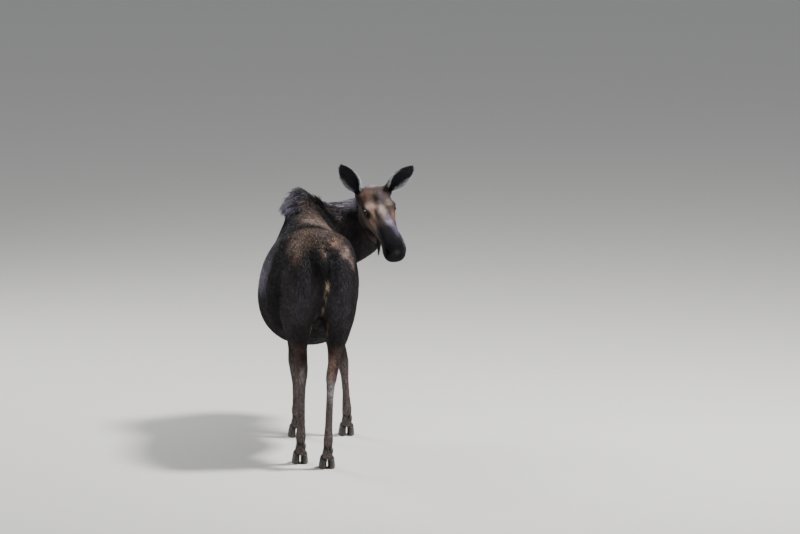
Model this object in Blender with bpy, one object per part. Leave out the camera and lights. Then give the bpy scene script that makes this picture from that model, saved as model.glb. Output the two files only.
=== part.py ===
"""A cow moose as a life-size still model: she stands on four feet and looks back over her
right side.

The flesh is modelled whole, as overlapping masses fused into one body, and is then parted with
thin flat cuts into the pieces that a person would name. Positions are given as side (to the
animal's left), forward (ahead of the buttocks) and height above the floor, and she faces -Y, so
side is +X. Lengths are metres. The outlines reach the tips of the coat.
"""

import math
from collections import namedtuple

import bmesh
import bpy
from mathutils import Matrix, Vector

# ---------------------------------------------------------------------------------------
# Driving sizes

GAP = 0.0004                 # width of a cut between two pieces
NEST_GAP = 0.00056           # clearance round a piece that sits in a hollow
# A cut that runs through a corner point is tried again a hair behind it.
CUT_NUDGES = (0.0, -0.0002, -0.0004)
SLIVER_POINTS = 12           # a splinter with fewer points, left by a cut, is dropped
GRAIN = 0.011                # grain in which the masses are fused
SOFTEN_PASSES = 8
RING_POINTS = 32             # points round a section
BODY_TRIANGLES = 2750        # trunk, neck and legs together
HEAD_TRIANGLES = 1400

CROUP_HEIGHT = 1.640
BELLY_HEIGHT = 0.745
BARREL_HALF_WIDTH = 0.356
HIP_HALF_WIDTH = 0.255
WITHERS_FORWARD = 1.36

HOCK_HEIGHT = 0.730
KNEE_HEIGHT = 0.550
FETLOCK_HEIGHT = 0.205
LEG_PIVOT_HEIGHT = 1.10      # a leg swings about this height when its foot is off its line

SKULL = (-0.513, 1.560, 1.656)       # where the head's axis leaves the neck
HEAD_YAW = math.radians(168)         # turned to the right from straight ahead
HEAD_PITCH = math.radians(-29)       # nose down
HEAD_ROLL = math.radians(5)

EYE_RADIUS = 0.0215
EYE_PLACE = (0.205, 0.1055, 0.045)   # along the head, out from its middle plane, up

EAR_LENGTH = 0.260
EAR_HALF_WIDTH = 0.070
EAR_ROOT_HALF_WIDTH = 0.032
EAR_WIDEST = 0.42                    # share of its length at which an ear is widest
EAR_TIP_HALF_WIDTH = 0.0035
EAR_THICKNESS = 0.011
EAR_TIP_THINNING = 0.45              # how much thinner the tip is, and the rim
EAR_RIM_THINNING = 0.35
EAR_SETBACK = 0.035                  # how far an ear's back lies behind the line it rises on
EAR_LEAN = 0.012                     # how far its back leans back towards the tip
EAR_TIP_BEND = 0.075                 # how far its tip bends forward
EAR_CURL = (150, 60, 42)             # half angle of the curl at the root, widest place and tip
EAR_ROOT = (0.030, 0.106, 0.086)     # along the head, out from its middle plane, up
# The way each ear points, in the same terms, and how far it opens sideways.
EAR_RISE = {"left": (0.00, 0.52, 0.70), "right": (-0.36, 0.44, 0.84)}
EAR_TURN = {"left": math.radians(4), "right": math.radians(34)}

# The stump that an ear stands on, as height up the ear and radius.
EAR_STUMP = ((-0.075, 0.050), (-0.030, 0.046), (0.020, 0.040))

HOOF_LENGTH = 0.150
HOOF_TOP_LENGTH = 0.088
HOOF_TOP = 0.078                     # height of the coronet at the middle of the foot
HOOF_TOP_SLOPE = math.radians(16)
CLAW_TRIM = 0.040                    # height over the coronet that the slanting cut takes off
CLAW_TOE_TAPER = 0.42
TOE_SPREAD = math.radians(4)
# A claw's sections, as share of its height, half width, how far its middle lies ahead of the
# pastern, and half the space that it leaves to the other claw.
CLAW_SECTIONS = (
    (0.00, 0.0254, 0.024, 0.0050),
    (0.12, 0.0259, 0.020, 0.0046),
    (1.00, 0.0212, -0.010, 0.0015),
)
DEWCLAW_RADIUS = 0.014
DEWCLAW_LENGTH = 0.050
DEWCLAW_HEIGHT = 0.138
DEWCLAW_SLOPE = math.radians(28)
DEWCLAW_PLACE = (-0.004, 0.021, -0.006)      # from the back of the pastern
DEWCLAW_SECTIONS = ((0.50, 0.75), (0.15, 1.00), (-0.35, 0.80), (-0.50, 0.35))

BELL_ROOT = (0.215, 0.000, -0.135)   # where the bell of skin hangs under the jaw
BELL_LENGTH = 0.160
BELL_SECTIONS = ((0.0, 0.020), (0.35, 0.017), (0.70, 0.012), (1.0, 0.004))

# Each foot's place: how far the leg's top and its foot are set off their neutral line, as
# (side at the top, side at the floor, forward at the floor).
STANCE = {
    "hind_left": (0.000, 0.000, 0.060),
    "hind_right": (0.010, 0.095, -0.140),
    "fore_left": (-0.030, -0.100, -0.080),
    "fore_right": (-0.030, -0.160, -0.060),
}

# Flat cuts across a leg: the body keeps what is above the first, the lower leg starts at the
# second.
LEG_CUTS = {"hind": (0.890, 0.640), "fore": (0.815, 0.485)}
LEG_CUT_SHARE = 1.25                 # how wide the cut is, against the leg's half depth

# Flat cuts through the trunk, by how far forward they stand, and through the neck, by their
# share of its length, with the half width and half height that they reach.
RUMP_CUT = 0.560
CHEST_CUT = 1.150
NECK_CUTS = (("neck_base", 0.30, 0.24, 0.40), ("neck_top", 0.57, 0.20, 0.32))
HEAD_CUT_PLACE = (-0.520, 1.580, 1.580)
HEAD_CUT_FACING = (-0.33, -0.92, 0.0)
HEAD_CUT_REACH = (0.175, 0.320)
EAR_CUT_REACH = 0.055
FOOT_CUT_REACH = 0.1
TRUNK_CUT_REACH = 1.0
MOUTH_CUT = (0.300, 0.000, -0.086)   # in the head's frame
MOUTH_CUT_REACH = 0.5

# ---------------------------------------------------------------------------------------
# Sections. Each row is one section of a shape, and the loft runs smoothly through them.

Trunk = namedtuple("Trunk", "forward side top bottom half_width widest crest belly roll")
Leg = namedtuple("Leg", "height side forward half_width half_depth")
Neck = namedtuple("Neck", "side forward height half_width above below")
Head = namedtuple("Head", "along top bottom half_width widest brow chin")
Tail = namedtuple("Tail", "height forward half_width half_depth")

# roll lifts the left side, in degrees: she rests her right hind leg, and the paunch lies left.
TRUNK = (
    Trunk(0.070, 0.000, 1.430, 1.290, 0.050, 1.36, 2.0, 2.0, 0),
    Trunk(0.110, 0.000, 1.500, 1.160, 0.130, 1.33, 2.1, 2.0, 2),
    Trunk(0.180, 0.004, 1.575, 1.030, 0.205, 1.30, 2.3, 2.0, 7),
    Trunk(0.280, 0.014, CROUP_HEIGHT - 0.012, 0.960, HIP_HALF_WIDTH, 1.28, 2.6, 2.0, 11),
    Trunk(0.430, 0.032, CROUP_HEIGHT - 0.016, 0.890, 0.284, 1.22, 2.8, 2.1, 13),
    Trunk(0.600, 0.032, 1.586, 0.795, 0.326, 1.16, 2.9, 2.2, 12),
    Trunk(0.780, 0.020, 1.552, BELLY_HEIGHT, BARREL_HALF_WIDTH, 1.12, 2.4, 2.2, 7),
    Trunk(0.950, 0.010, 1.590, 0.752, 0.342, 1.12, 1.9, 2.2, 3),
    Trunk(1.110, 0.000, 1.658, 0.782, 0.300, 1.14, 1.6, 2.1, 1),
    Trunk(1.240, -0.006, 1.724, 0.820, 0.258, 1.16, 1.5, 2.0, 0),
    Trunk(WITHERS_FORWARD, -0.012, 1.745, 0.855, 0.236, 1.18, 1.4, 1.9, 0),
    Trunk(1.480, -0.030, 1.705, 0.900, 0.218, 1.20, 1.5, 1.9, 0),
    Trunk(1.590, -0.046, 1.600, 0.965, 0.188, 1.22, 1.7, 1.9, 0),
    Trunk(1.670, -0.056, 1.450, 1.070, 0.125, 1.25, 2.0, 2.0, 0),
)

# A hind leg, left side, standing on its neutral line.
HIND_LEG = (
    Leg(1.450, 0.105, 0.240, 0.095, 0.160),
    Leg(1.340, 0.122, 0.250, 0.138, 0.222),
    Leg(1.200, 0.124, 0.268, 0.142, 0.250),
    Leg(1.070, 0.134, 0.300, 0.130, 0.228),
    Leg(0.985, 0.145, 0.297, 0.110, 0.182),
    Leg(0.900, 0.150, 0.262, 0.083, 0.135),
    Leg(0.835, 0.145, 0.222, 0.060, 0.102),
    Leg(0.785, 0.137, 0.188, 0.048, 0.086),
    Leg(HOCK_HEIGHT, 0.132, 0.156, 0.041, 0.080),
    Leg(0.685, 0.129, 0.162, 0.043, 0.068),
    Leg(0.625, 0.127, 0.178, 0.038, 0.050),
    Leg(0.550, 0.127, 0.187, 0.029, 0.039),
    Leg(0.400, 0.128, 0.196, 0.0265, 0.0345),
    Leg(0.270, 0.129, 0.205, 0.030, 0.038),
    Leg(FETLOCK_HEIGHT, 0.130, 0.212, 0.037, 0.046),
    Leg(0.150, 0.130, 0.234, 0.033, 0.039),
    Leg(0.100, 0.130, 0.256, 0.040, 0.047),
    Leg(0.040, 0.130, 0.268, 0.044, 0.056),
)

# A foreleg, left side, standing on its neutral line.
FORE_LEG = (
    Leg(1.360, 0.120, 1.430, 0.085, 0.150),
    Leg(1.240, 0.145, 1.450, 0.100, 0.185),
    Leg(1.110, 0.156, 1.450, 0.092, 0.180),
    Leg(1.000, 0.156, 1.400, 0.074, 0.138),
    Leg(0.910, 0.152, 1.370, 0.056, 0.092),
    Leg(0.800, 0.150, 1.360, 0.046, 0.068),
    Leg(0.680, 0.150, 1.355, 0.038, 0.051),
    Leg(0.600, 0.150, 1.357, 0.040, 0.046),
    Leg(KNEE_HEIGHT, 0.150, 1.358, 0.045, 0.049),
    Leg(0.495, 0.150, 1.352, 0.040, 0.043),
    Leg(0.430, 0.150, 1.346, 0.030, 0.035),
    Leg(0.320, 0.150, 1.346, 0.0275, 0.033),
    Leg(0.245, 0.150, 1.350, 0.031, 0.038),
    Leg(FETLOCK_HEIGHT, 0.150, 1.356, 0.037, 0.046),
    Leg(0.150, 0.150, 1.378, 0.033, 0.039),
    Leg(0.100, 0.150, 1.402, 0.040, 0.047),
    Leg(0.040, 0.150, 1.414, 0.044, 0.056),
)

NECK = (
    Neck(0.000, 1.280, 1.290, 0.180, 0.340, 0.330),
    Neck(-0.040, 1.440, 1.330, 0.185, 0.325, 0.340),
    Neck(-0.115, 1.600, 1.370, 0.176, 0.290, 0.320),
    Neck(-0.235, 1.705, 1.405, 0.162, 0.235, 0.310),
    Neck(-0.370, 1.735, 1.450, 0.150, 0.190, 0.285),
    Neck(-0.475, 1.700, 1.515, 0.134, 0.155, 0.250),
    Neck(-0.515, 1.620, 1.585, 0.116, 0.125, 0.205),
    Neck(-0.518, 1.530, 1.610, 0.090, 0.090, 0.130),
)

HEAD = (
    Head(-0.070, 0.060, -0.080, 0.060, 0.00, 2.0, 2.0),
    Head(-0.030, 0.098, -0.120, 0.088, 0.00, 2.2, 2.0),
    Head(0.030, 0.115, -0.140, 0.110, 0.01, 2.5, 2.0),
    Head(0.100, 0.112, -0.150, 0.118, 0.01, 2.6, 2.0),
    Head(0.170, 0.102, -0.146, 0.117, 0.02, 2.7, 1.9),
    Head(0.235, 0.094, -0.130, 0.106, 0.02, 2.6, 1.9),
    Head(0.305, 0.087, -0.108, 0.088, 0.010, 2.4, 2.0),
    Head(0.380, 0.085, -0.090, 0.075, 0.00, 2.3, 2.1),
    Head(0.445, 0.088, -0.086, 0.070, -0.01, 2.3, 2.3),
    Head(0.505, 0.090, -0.092, 0.075, -0.01, 2.3, 2.5),
    Head(0.558, 0.084, -0.104, 0.081, -0.02, 2.3, 2.6),
    Head(0.606, 0.064, -0.108, 0.079, -0.03, 2.3, 2.6),
    Head(0.638, 0.026, -0.088, 0.058, -0.03, 2.0, 2.2),
)

# The lower jaw and chin, in the same frame as the head.
JAW = (
    Head(0.040, -0.060, -0.155, 0.078, -0.10, 2.0, 2.0),
    Head(0.110, -0.060, -0.176, 0.080, -0.11, 2.0, 2.0),
    Head(0.200, -0.060, -0.163, 0.068, -0.11, 2.0, 2.0),
    Head(0.300, -0.050, -0.134, 0.054, -0.09, 2.0, 2.0),
    Head(0.400, -0.050, -0.120, 0.048, -0.08, 2.0, 2.0),
    Head(0.470, -0.050, -0.130, 0.050, -0.08, 2.0, 2.1),
    Head(0.525, -0.050, -0.148, 0.052, -0.08, 2.0, 2.2),
    Head(0.570, -0.060, -0.132, 0.036, -0.08, 2.0, 2.0),
)

TAIL = (
    Tail(1.450, 0.085, 0.028, 0.024),
    Tail(1.420, 0.056, 0.034, 0.024),
    Tail(1.385, 0.040, 0.035, 0.021),
    Tail(1.350, 0.032, 0.030, 0.017),
    Tail(1.320, 0.028, 0.017, 0.011),
)

# Swellings on the flesh, each with its centre and radii; they are made on both sides.
HEAD_SWELLINGS = (
    ((0.185, 0.094, 0.066), (0.050, 0.026, 0.026)),      # brow
    ((0.110, 0.080, -0.070), (0.095, 0.040, 0.080)),     # cheek
    ((0.576, 0.042, -0.020), (0.058, 0.042, 0.056)),     # nostril flank
)
BODY_SWELLINGS = (
    ((0.105, 1.390, 1.220), (0.105, 0.165, 0.270)),      # shoulder
    ((0.122, 0.215, 1.290), (0.130, 0.185, 0.225)),      # haunch
)
# Swellings over the spine: the hump, and the mane where it runs on to the neck.
CREST_SWELLINGS = (
    ((0.012, 1.375, 1.590), (0.114, 0.270, 0.173)),
    ((-0.085, 1.560, 1.530), (0.110, 0.170, 0.165)),
)

# Colour and roughness of each material.
MATERIALS = {
    "dark_coat": ((0.030, 0.025, 0.022), 0.85),
    "face_coat": ((0.160, 0.120, 0.100), 0.85),
    "leg_coat": ((0.150, 0.125, 0.115), 0.85),
    "eye": ((0.010, 0.007, 0.005), 0.15),
    "horn": ((0.035, 0.030, 0.027), 0.45),
}


# ---------------------------------------------------------------------------------------
# Shape helpers

def at(side, forward, height):
    """A point given the way the body is measured."""
    return Vector((side, -forward, height))


def smooth_rows(rows, steps):
    """Rows of numbers with steps points per span, on a curve through the given rows."""
    rows = [tuple(row) for row in rows]
    last = len(rows) - 1
    out = []
    for i in range(last):
        before, start = rows[max(i - 1, 0)], rows[i]
        end, after = rows[i + 1], rows[min(i + 2, last)]
        for k in range(steps):
            t = k / steps
            out.append([
                0.5 * (2 * b + (c - a) * t + (2 * a - 5 * b + 4 * c - d) * t * t
                       + (3 * b - a - 3 * c + d) * t * t * t)
                for a, b, c, d in zip(before, start, end, after)
            ])
    out.append(list(rows[last]))
    return out


def bulge(value, power):
    """Signed power that squares off (power over 2) or sharpens (under 2) a round section."""
    return math.copysign(abs(value) ** (2.0 / power), value)


def egg(half_width, above, below, upper_power=2.0, lower_power=2.0, count=RING_POINTS):
    """Section outline as (sideways, upwards) pairs, starting at its top."""
    points = []
    for k in range(count):
        turn = 2 * math.pi * k / count
        upper = math.cos(turn) >= 0
        power = upper_power if upper else lower_power
        reach = above if upper else below
        points.append((half_width * bulge(math.sin(turn), power),
                       reach * bulge(math.cos(turn), power)))
    return points


def loft(name, rings):
    """A closed body through rings of points, capped at both ends."""
    shape = bmesh.new()
    loops = [[shape.verts.new(point) for point in ring] for ring in rings]
    count = len(loops[0])
    for lower, upper in zip(loops, loops[1:]):
        for k in range(count):
            j = (k + 1) % count
            shape.faces.new((lower[k], lower[j], upper[j], upper[k]))
    shape.faces.new(loops[0][::-1])
    shape.faces.new(loops[-1])
    bmesh.ops.recalc_face_normals(shape, faces=shape.faces)
    return to_object(name, shape)


def to_object(name, shape):
    """A scene object from a bmesh, which it frees."""
    mesh = bpy.data.meshes.new(name)
    shape.to_mesh(mesh)
    shape.free()
    obj = bpy.data.objects.new(name, mesh)
    bpy.context.collection.objects.link(obj)
    return obj


def ellipsoid(name, frame, centre, radii, subdivisions=3):
    """A ball stretched to three radii in the given frame."""
    shape = bmesh.new()
    matrix = frame @ Matrix.Translation(centre) @ Matrix.Diagonal((*radii, 1.0))
    bmesh.ops.create_icosphere(shape, subdivisions=subdivisions, radius=1.0, matrix=matrix)
    return to_object(name, shape)


def drop(obj):
    """Removes an object and its mesh."""
    mesh = obj.data
    bpy.data.objects.remove(obj)
    bpy.data.meshes.remove(mesh)


def bake_modifiers(obj):
    """Replaces an object's mesh with what its modifiers make of it."""
    graph = bpy.context.evaluated_depsgraph_get()
    mesh = bpy.data.meshes.new_from_object(obj.evaluated_get(graph))
    old = obj.data
    obj.modifiers.clear()
    obj.data = mesh
    bpy.data.meshes.remove(old)


def join(name, parts):
    """One object holding all the given ones' faces."""
    shape = bmesh.new()
    for part in parts:
        shape.from_mesh(part.data)
        drop(part)
    return to_object(name, shape)


def fuse(name, parts):
    """One rounded skin round overlapping bodies."""
    obj = join(name, parts)
    remesh = obj.modifiers.new("fuse", "REMESH")
    remesh.mode = "VOXEL"
    remesh.voxel_size = GRAIN
    soften = obj.modifiers.new("soften", "SMOOTH")
    soften.factor = 0.5
    soften.iterations = SOFTEN_PASSES
    bake_modifiers(obj)
    return obj


def thin_out(obj, triangles):
    """Reduces an object to about so many triangles."""
    shape = bmesh.new()
    shape.from_mesh(obj.data)
    bmesh.ops.triangulate(shape, faces=shape.faces)
    shape.to_mesh(obj.data)
    shape.free()
    thin = obj.modifiers.new("thin", "DECIMATE")
    thin.ratio = min(1.0, triangles / len(obj.data.polygons))
    bake_modifiers(obj)


def boolean(obj, cutter):
    """Cuts one object by another, which stays."""
    cut = obj.modifiers.new("cut", "BOOLEAN")
    cut.operation = "DIFFERENCE"
    cut.object = cutter
    cut.solver = "EXACT"
    bake_modifiers(obj)


def slab(frame, half_width, half_height, thickness=GAP):
    """A thin box lying in the frame's YZ plane."""
    shape = bmesh.new()
    size = Matrix.Diagonal((thickness, 2 * half_width, 2 * half_height, 1.0))
    bmesh.ops.create_cube(shape, size=1.0, matrix=frame @ size)
    return to_object("slab", shape)


def facing(point, direction, upright=Vector((0, 0, 1))):
    """Frame at a point whose X runs along direction and whose Z is as upright as it can be."""
    along = direction.normalized()
    left = upright.cross(along).normalized()
    frame = Matrix((along, left, along.cross(left))).transposed().to_4x4()
    frame.translation = point
    return frame


def islands(shape):
    """The connected groups of a bmesh's vertices."""
    left = set(shape.verts)
    groups = []
    while left:
        stack = [left.pop()]
        group = set(stack)
        while stack:
            for edge in stack.pop().link_edges:
                for vert in edge.verts:
                    if vert in left:
                        left.remove(vert)
                        group.add(vert)
                        stack.append(vert)
        groups.append(group)
    return groups


def part_off(obj, name, frame, half_width, half_height):
    """Parts an object with a thin cut, and returns the piece ahead of the frame as name."""
    whole = obj.data.copy()
    for nudge in CUT_NUDGES:
        cutter = slab(frame @ Matrix.Translation((nudge, 0, 0)), half_width, half_height)
        boolean(obj, cutter)
        drop(cutter)
        if obj.data.polygons:
            break
        obj.data = whole.copy()
    behind = bmesh.new()
    behind.from_mesh(obj.data)
    inward = frame.inverted()
    groups = islands(behind)
    slivers = [v for group in groups if len(group) < SLIVER_POINTS for v in group]
    bmesh.ops.delete(behind, geom=slivers, context="VERTS")
    behind.verts.index_update()
    groups = [group for group in groups if len(group) >= SLIVER_POINTS]
    ahead = max(groups, key=lambda group: min((inward @ v.co).x for v in group))
    chosen = {v.index for v in ahead}
    piece = behind.copy()
    bmesh.ops.delete(piece, geom=[v for v in piece.verts if v.index not in chosen],
                     context="VERTS")
    bmesh.ops.delete(behind, geom=list(ahead), context="VERTS")
    behind.to_mesh(obj.data)
    behind.free()
    return to_object(name, piece)


def nest(obj, piece):
    """Hollows an object so that a piece sits in it with a small clearance all round."""
    shape = bmesh.new()
    shape.from_mesh(piece.data)
    shape.normal_update()
    for vert in shape.verts:
        vert.co += vert.normal * NEST_GAP
    cutter = to_object("hollow", shape)
    boolean(obj, cutter)
    drop(cutter)


# ---------------------------------------------------------------------------------------
# Masses of the flesh

def trunk_rings():
    """Upright sections from the buttocks to the breast."""
    rings = []
    for row in smooth_rows(TRUNK, 3):
        t = Trunk(*row)
        outline = egg(t.half_width, t.top - t.widest, t.widest - t.bottom, t.crest, t.belly)
        lean = math.radians(t.roll)
        rings.append([at(t.side + x * math.cos(lean) - z * math.sin(lean), t.forward,
                         t.widest + z * math.cos(lean) + x * math.sin(lean))
                      for x, z in outline])
    return rings


def neck_rings():
    """Sections square to the neck's middle line."""
    rows = [Neck(*row) for row in smooth_rows(NECK, 4)]
    middles = [at(n.side, n.forward, n.height) for n in rows]
    rings = []
    for i, n in enumerate(rows):
        along = middles[min(i + 1, len(rows) - 1)] - middles[max(i - 1, 0)]
        frame = facing(middles[i], along)
        outline = egg(n.half_width, n.above, n.below, 1.8, 1.9)
        rings.append([frame @ Vector((0, x, z)) for x, z in outline])
    return rings


def head_frame():
    """Frame on the head's axis: X to the nose, Y to its left, Z up from the brow."""
    heading = Vector((-math.sin(HEAD_YAW), -math.cos(HEAD_YAW), 0.0))
    along = heading * math.cos(HEAD_PITCH) + Vector((0, 0, math.sin(HEAD_PITCH)))
    return facing(at(*SKULL), along) @ Matrix.Rotation(HEAD_ROLL, 4, "X")


def head_rings(rows, frame):
    """Sections across the head, from back to front."""
    rings = []
    for row in smooth_rows(rows, 4):
        h = Head(*row)
        outline = egg(h.half_width, h.top - h.widest, h.widest - h.bottom, h.brow, h.chin)
        rings.append([frame @ Vector((h.along, -x, h.widest + z)) for x, z in outline])
    return rings


def leg_line(row, leg):
    """Side and forward place of a leg's middle at one section, as the leg stands."""
    top, foot_side, foot_forward = STANCE[leg]
    mirror = -1 if leg.endswith("right") else 1
    sway = max(0.0, 1.0 - (row.height / LEG_PIVOT_HEIGHT) ** 2)
    side = mirror * row.side + top + (foot_side - top) * sway
    return side, row.forward + foot_forward * sway


def leg_rows(leg):
    """Section rows of a hind or a fore leg."""
    return HIND_LEG if leg.startswith("hind") else FORE_LEG


def leg_rings(leg):
    """Level sections down a leg."""
    rings = []
    for row in smooth_rows(leg_rows(leg), 3):
        g = Leg(*row)
        side, forward = leg_line(g, leg)
        outline = egg(g.half_width, g.half_depth, g.half_depth)
        rings.append([at(side + x, forward + y, g.height) for x, y in outline])
    return rings


def swelling_pairs(rows, frame):
    """Ellipsoids on both sides of a frame whose Y runs to the left."""
    made = []
    for (along, out, up), radii in rows:
        for mirror in (1, -1):
            made.append(ellipsoid("swelling", frame, (along, mirror * out, up), radii))
    return made


def body_flesh(head):
    """The whole animal but her ears, as one fused body."""
    parts = [loft("trunk", trunk_rings()), loft("neck", neck_rings()),
             loft("head", head_rings(HEAD, head)), loft("jaw", head_rings(JAW, head))]
    parts += [loft(leg, leg_rings(leg)) for leg in STANCE]
    parts += swelling_pairs(HEAD_SWELLINGS, head)
    for (side, forward, height), radii in BODY_SWELLINGS:
        for mirror in (1, -1):
            place = Matrix.Translation(at(mirror * side, forward, height))
            parts.append(ellipsoid("swelling", place, (0, 0, 0), radii))
    for centre, radii in CREST_SWELLINGS:
        parts.append(ellipsoid("crest", Matrix.Translation(at(*centre)), (0, 0, 0), radii))
    for side in ("left", "right"):
        parts.append(ear_stump(ear_frame(head, side)))
    return fuse("trunk", parts)


# ---------------------------------------------------------------------------------------
# Ears

def ear_frame(head, side):
    """Frame at an ear's root: Z up the ear, X the way it opens."""
    mirror = 1 if side == "left" else -1
    turn = head.to_3x3()
    back, out, up = EAR_RISE[side]
    rise = (turn @ Vector((back, mirror * out, up))).normalized()
    mouth = turn @ Vector((math.cos(EAR_TURN[side]), mirror * math.sin(EAR_TURN[side]), 0))
    left = rise.cross(mouth).normalized()
    frame = Matrix((left.cross(rise), left, rise)).transposed().to_4x4()
    frame.translation = head @ Vector((EAR_ROOT[0], mirror * EAR_ROOT[1], EAR_ROOT[2]))
    return frame


def ear_shape(rise):
    """Half width and the half angle of the curl of an ear at a share of its length."""
    swell = min(1.0, rise / EAR_WIDEST)
    taper = min(1.0, max(0.0, rise - EAR_WIDEST) / (1.0 - EAR_WIDEST))
    widening = (EAR_HALF_WIDTH - EAR_ROOT_HALF_WIDTH) * swell * swell * (3 - 2 * swell)
    half_width = (EAR_ROOT_HALF_WIDTH + widening) * (1.0 - taper ** 2.2) ** 0.8
    root, widest, tip = EAR_CURL
    curl = root + (widest - root) * swell + (tip - widest) * taper
    return half_width + EAR_TIP_HALF_WIDTH * taper, math.radians(curl)


def ear_stump(frame):
    """The root that an ear stands on, which its flat cut ends."""
    rings = []
    for height, radius in EAR_STUMP:
        rings.append([frame @ Vector((x, y, height)) for x, y in egg(radius, radius, radius)])
    return loft("ear_stump", rings)


def ear(name, frame):
    """A cupped leaf with two faces, closed round its rim."""
    steps_up, steps_round = 10, 6
    shape = bmesh.new()
    sheets = []
    for inside in (False, True):
        sheet = []
        for i in range(steps_up + 1):
            rise = i / steps_up
            half_width, curl = ear_shape(rise)
            thickness = EAR_THICKNESS * (1.0 - EAR_TIP_THINNING * rise)
            radius = half_width / math.sin(min(curl, math.pi / 2))
            row = []
            for j in range(steps_round + 1):
                across = 2 * j / steps_round - 1
                reach = radius - thickness * (1.0 - EAR_RIM_THINNING * across ** 2) * inside
                back = radius - EAR_SETBACK - EAR_LEAN * rise + EAR_TIP_BEND * rise * rise
                row.append(shape.verts.new(frame @ Vector((
                    back - reach * math.cos(curl * across),
                    reach * math.sin(curl * across),
                    GAP + rise * EAR_LENGTH))))
            sheet.append(row)
        sheets.append(sheet)
    outer, inner = sheets
    for i in range(steps_up):
        for j in range(steps_round):
            for sheet in sheets:
                shape.faces.new((sheet[i][j], sheet[i][j + 1], sheet[i + 1][j + 1],
                                 sheet[i + 1][j]))
        for j in (0, steps_round):
            shape.faces.new((outer[i][j], outer[i + 1][j], inner[i + 1][j], inner[i][j]))
    for j in range(steps_round):
        for i in (0, steps_up):
            shape.faces.new((outer[i][j], outer[i][j + 1], inner[i][j + 1], inner[i][j]))
    bmesh.ops.recalc_face_normals(shape, faces=shape.faces)
    return to_object(name, shape)


# ---------------------------------------------------------------------------------------
# Feet, tail and bell

def foot_frame(leg):
    """Frame on the floor under a foot: X forwards, Z up."""
    side, forward = leg_line(Leg(*leg_rows(leg)[-1]), leg)
    return facing(at(side, forward, 0.0), Vector((0, -1, 0)))


def coronet_frame(leg):
    """Frame of the slanting cut between a foot's flesh and its claws, X down."""
    frame = foot_frame(leg) @ Matrix.Translation((0, 0, HOOF_TOP))
    return frame @ Matrix.Rotation(math.pi / 2 - HOOF_TOP_SLOPE, 4, "Y")


def claw(name, leg, mirror):
    """One horny claw: pointed in front, flat underneath, cut off at the coronet."""
    frame = foot_frame(leg) @ Matrix.Rotation(mirror * TOE_SPREAD, 4, "Z")
    rings = []
    for share, width, ahead_of_pastern, half_cleft in CLAW_SECTIONS:
        length = HOOF_LENGTH + (HOOF_TOP_LENGTH - HOOF_LENGTH) * share
        out = half_cleft + width
        ring = []
        for across, ahead in egg(1.0, 1.0, 1.0, count=12):
            narrow = 1.0 - CLAW_TOE_TAPER * max(0.0, ahead) ** 1.5
            ring.append(frame @ Vector((ahead_of_pastern + 0.5 * length * ahead,
                                        mirror * out + width * across * narrow,
                                        (HOOF_TOP + CLAW_TRIM) * share)))
        rings.append(ring)
    horn = loft(name, rings)
    above = coronet_frame(leg) @ Matrix.Rotation(math.pi, 4, "Z")
    drop(part_off(horn, "top", above, FOOT_CUT_REACH, FOOT_CUT_REACH))
    return horn


def leg_place(leg, height):
    """The leg's section at a height, with its middle's side and forward place."""
    rows = [Leg(*row) for row in smooth_rows(leg_rows(leg), 8)]
    row = min(rows, key=lambda r: abs(r.height - height))
    return (row, *leg_line(row, leg))


def dewclaw(name, leg, mirror):
    """A small claw behind the pastern."""
    row, side, forward = leg_place(leg, DEWCLAW_HEIGHT)
    frame = facing(at(side, forward, DEWCLAW_HEIGHT), Vector((0, -1, 0)))
    back, out, up = DEWCLAW_PLACE
    frame = frame @ Matrix.Translation((back - row.half_depth, mirror * out, up))
    frame = frame @ Matrix.Rotation(DEWCLAW_SLOPE, 4, "Y")
    rings = []
    for rise, swell in DEWCLAW_SECTIONS:
        radius = DEWCLAW_RADIUS * swell
        rings.append([frame @ Vector((x, y, DEWCLAW_LENGTH * rise)) for x, y in
                      egg(radius, radius, radius, count=8)])
    return loft(name, rings)


def tail_shape():
    """The short tail, laid in the cleft of the buttocks."""
    rings = []
    for row in smooth_rows(TAIL, 2):
        t = Tail(*row)
        outline = egg(t.half_width, t.half_depth, t.half_depth, count=14)
        rings.append([at(x, t.forward + y, t.height) for x, y in outline])
    return loft("tail", rings)


def bell_shape(head):
    """A strand of skin and hair that hangs straight down under the jaw."""
    root = head @ Vector(BELL_ROOT)
    rings = []
    for share, radius in BELL_SECTIONS:
        rings.append([root + Vector((x, y, -share * BELL_LENGTH))
                      for x, y in egg(radius, radius * 0.8, radius * 0.8, count=12)])
    return loft("bell", rings)


# ---------------------------------------------------------------------------------------
# The pieces

def paint(obj, key):
    """Gives an object its own material of one of the named kinds, and smooth shading."""
    colour, roughness = MATERIALS[key]
    material = bpy.data.materials.new(obj.name + "_" + key)
    material.use_nodes = True
    surface = material.node_tree.nodes["Principled BSDF"]
    surface.inputs["Base Color"].default_value = (*colour, 1.0)
    surface.inputs["Roughness"].default_value = roughness
    surface.inputs["Metallic"].default_value = 0.0
    obj.data.materials.clear()
    obj.data.materials.append(material)
    obj.data.shade_smooth()
    obj.data.set_sharp_from_angle(angle=math.radians(50))


def part_neck(trunk):
    """Parts the neck from the trunk in two lengths."""
    rows = smooth_rows(NECK, 4)
    pieces = {}
    whole = trunk
    for name, share, half_width, half_height in NECK_CUTS:
        i = round(share * (len(rows) - 1))
        before, here, after = (at(*rows[k][:3]) for k in (i - 1, i, i + 1))
        cut = facing(here, after - before)
        whole = part_off(whole, name, cut, half_width, half_height)
        pieces[name] = whole
    return pieces


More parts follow.
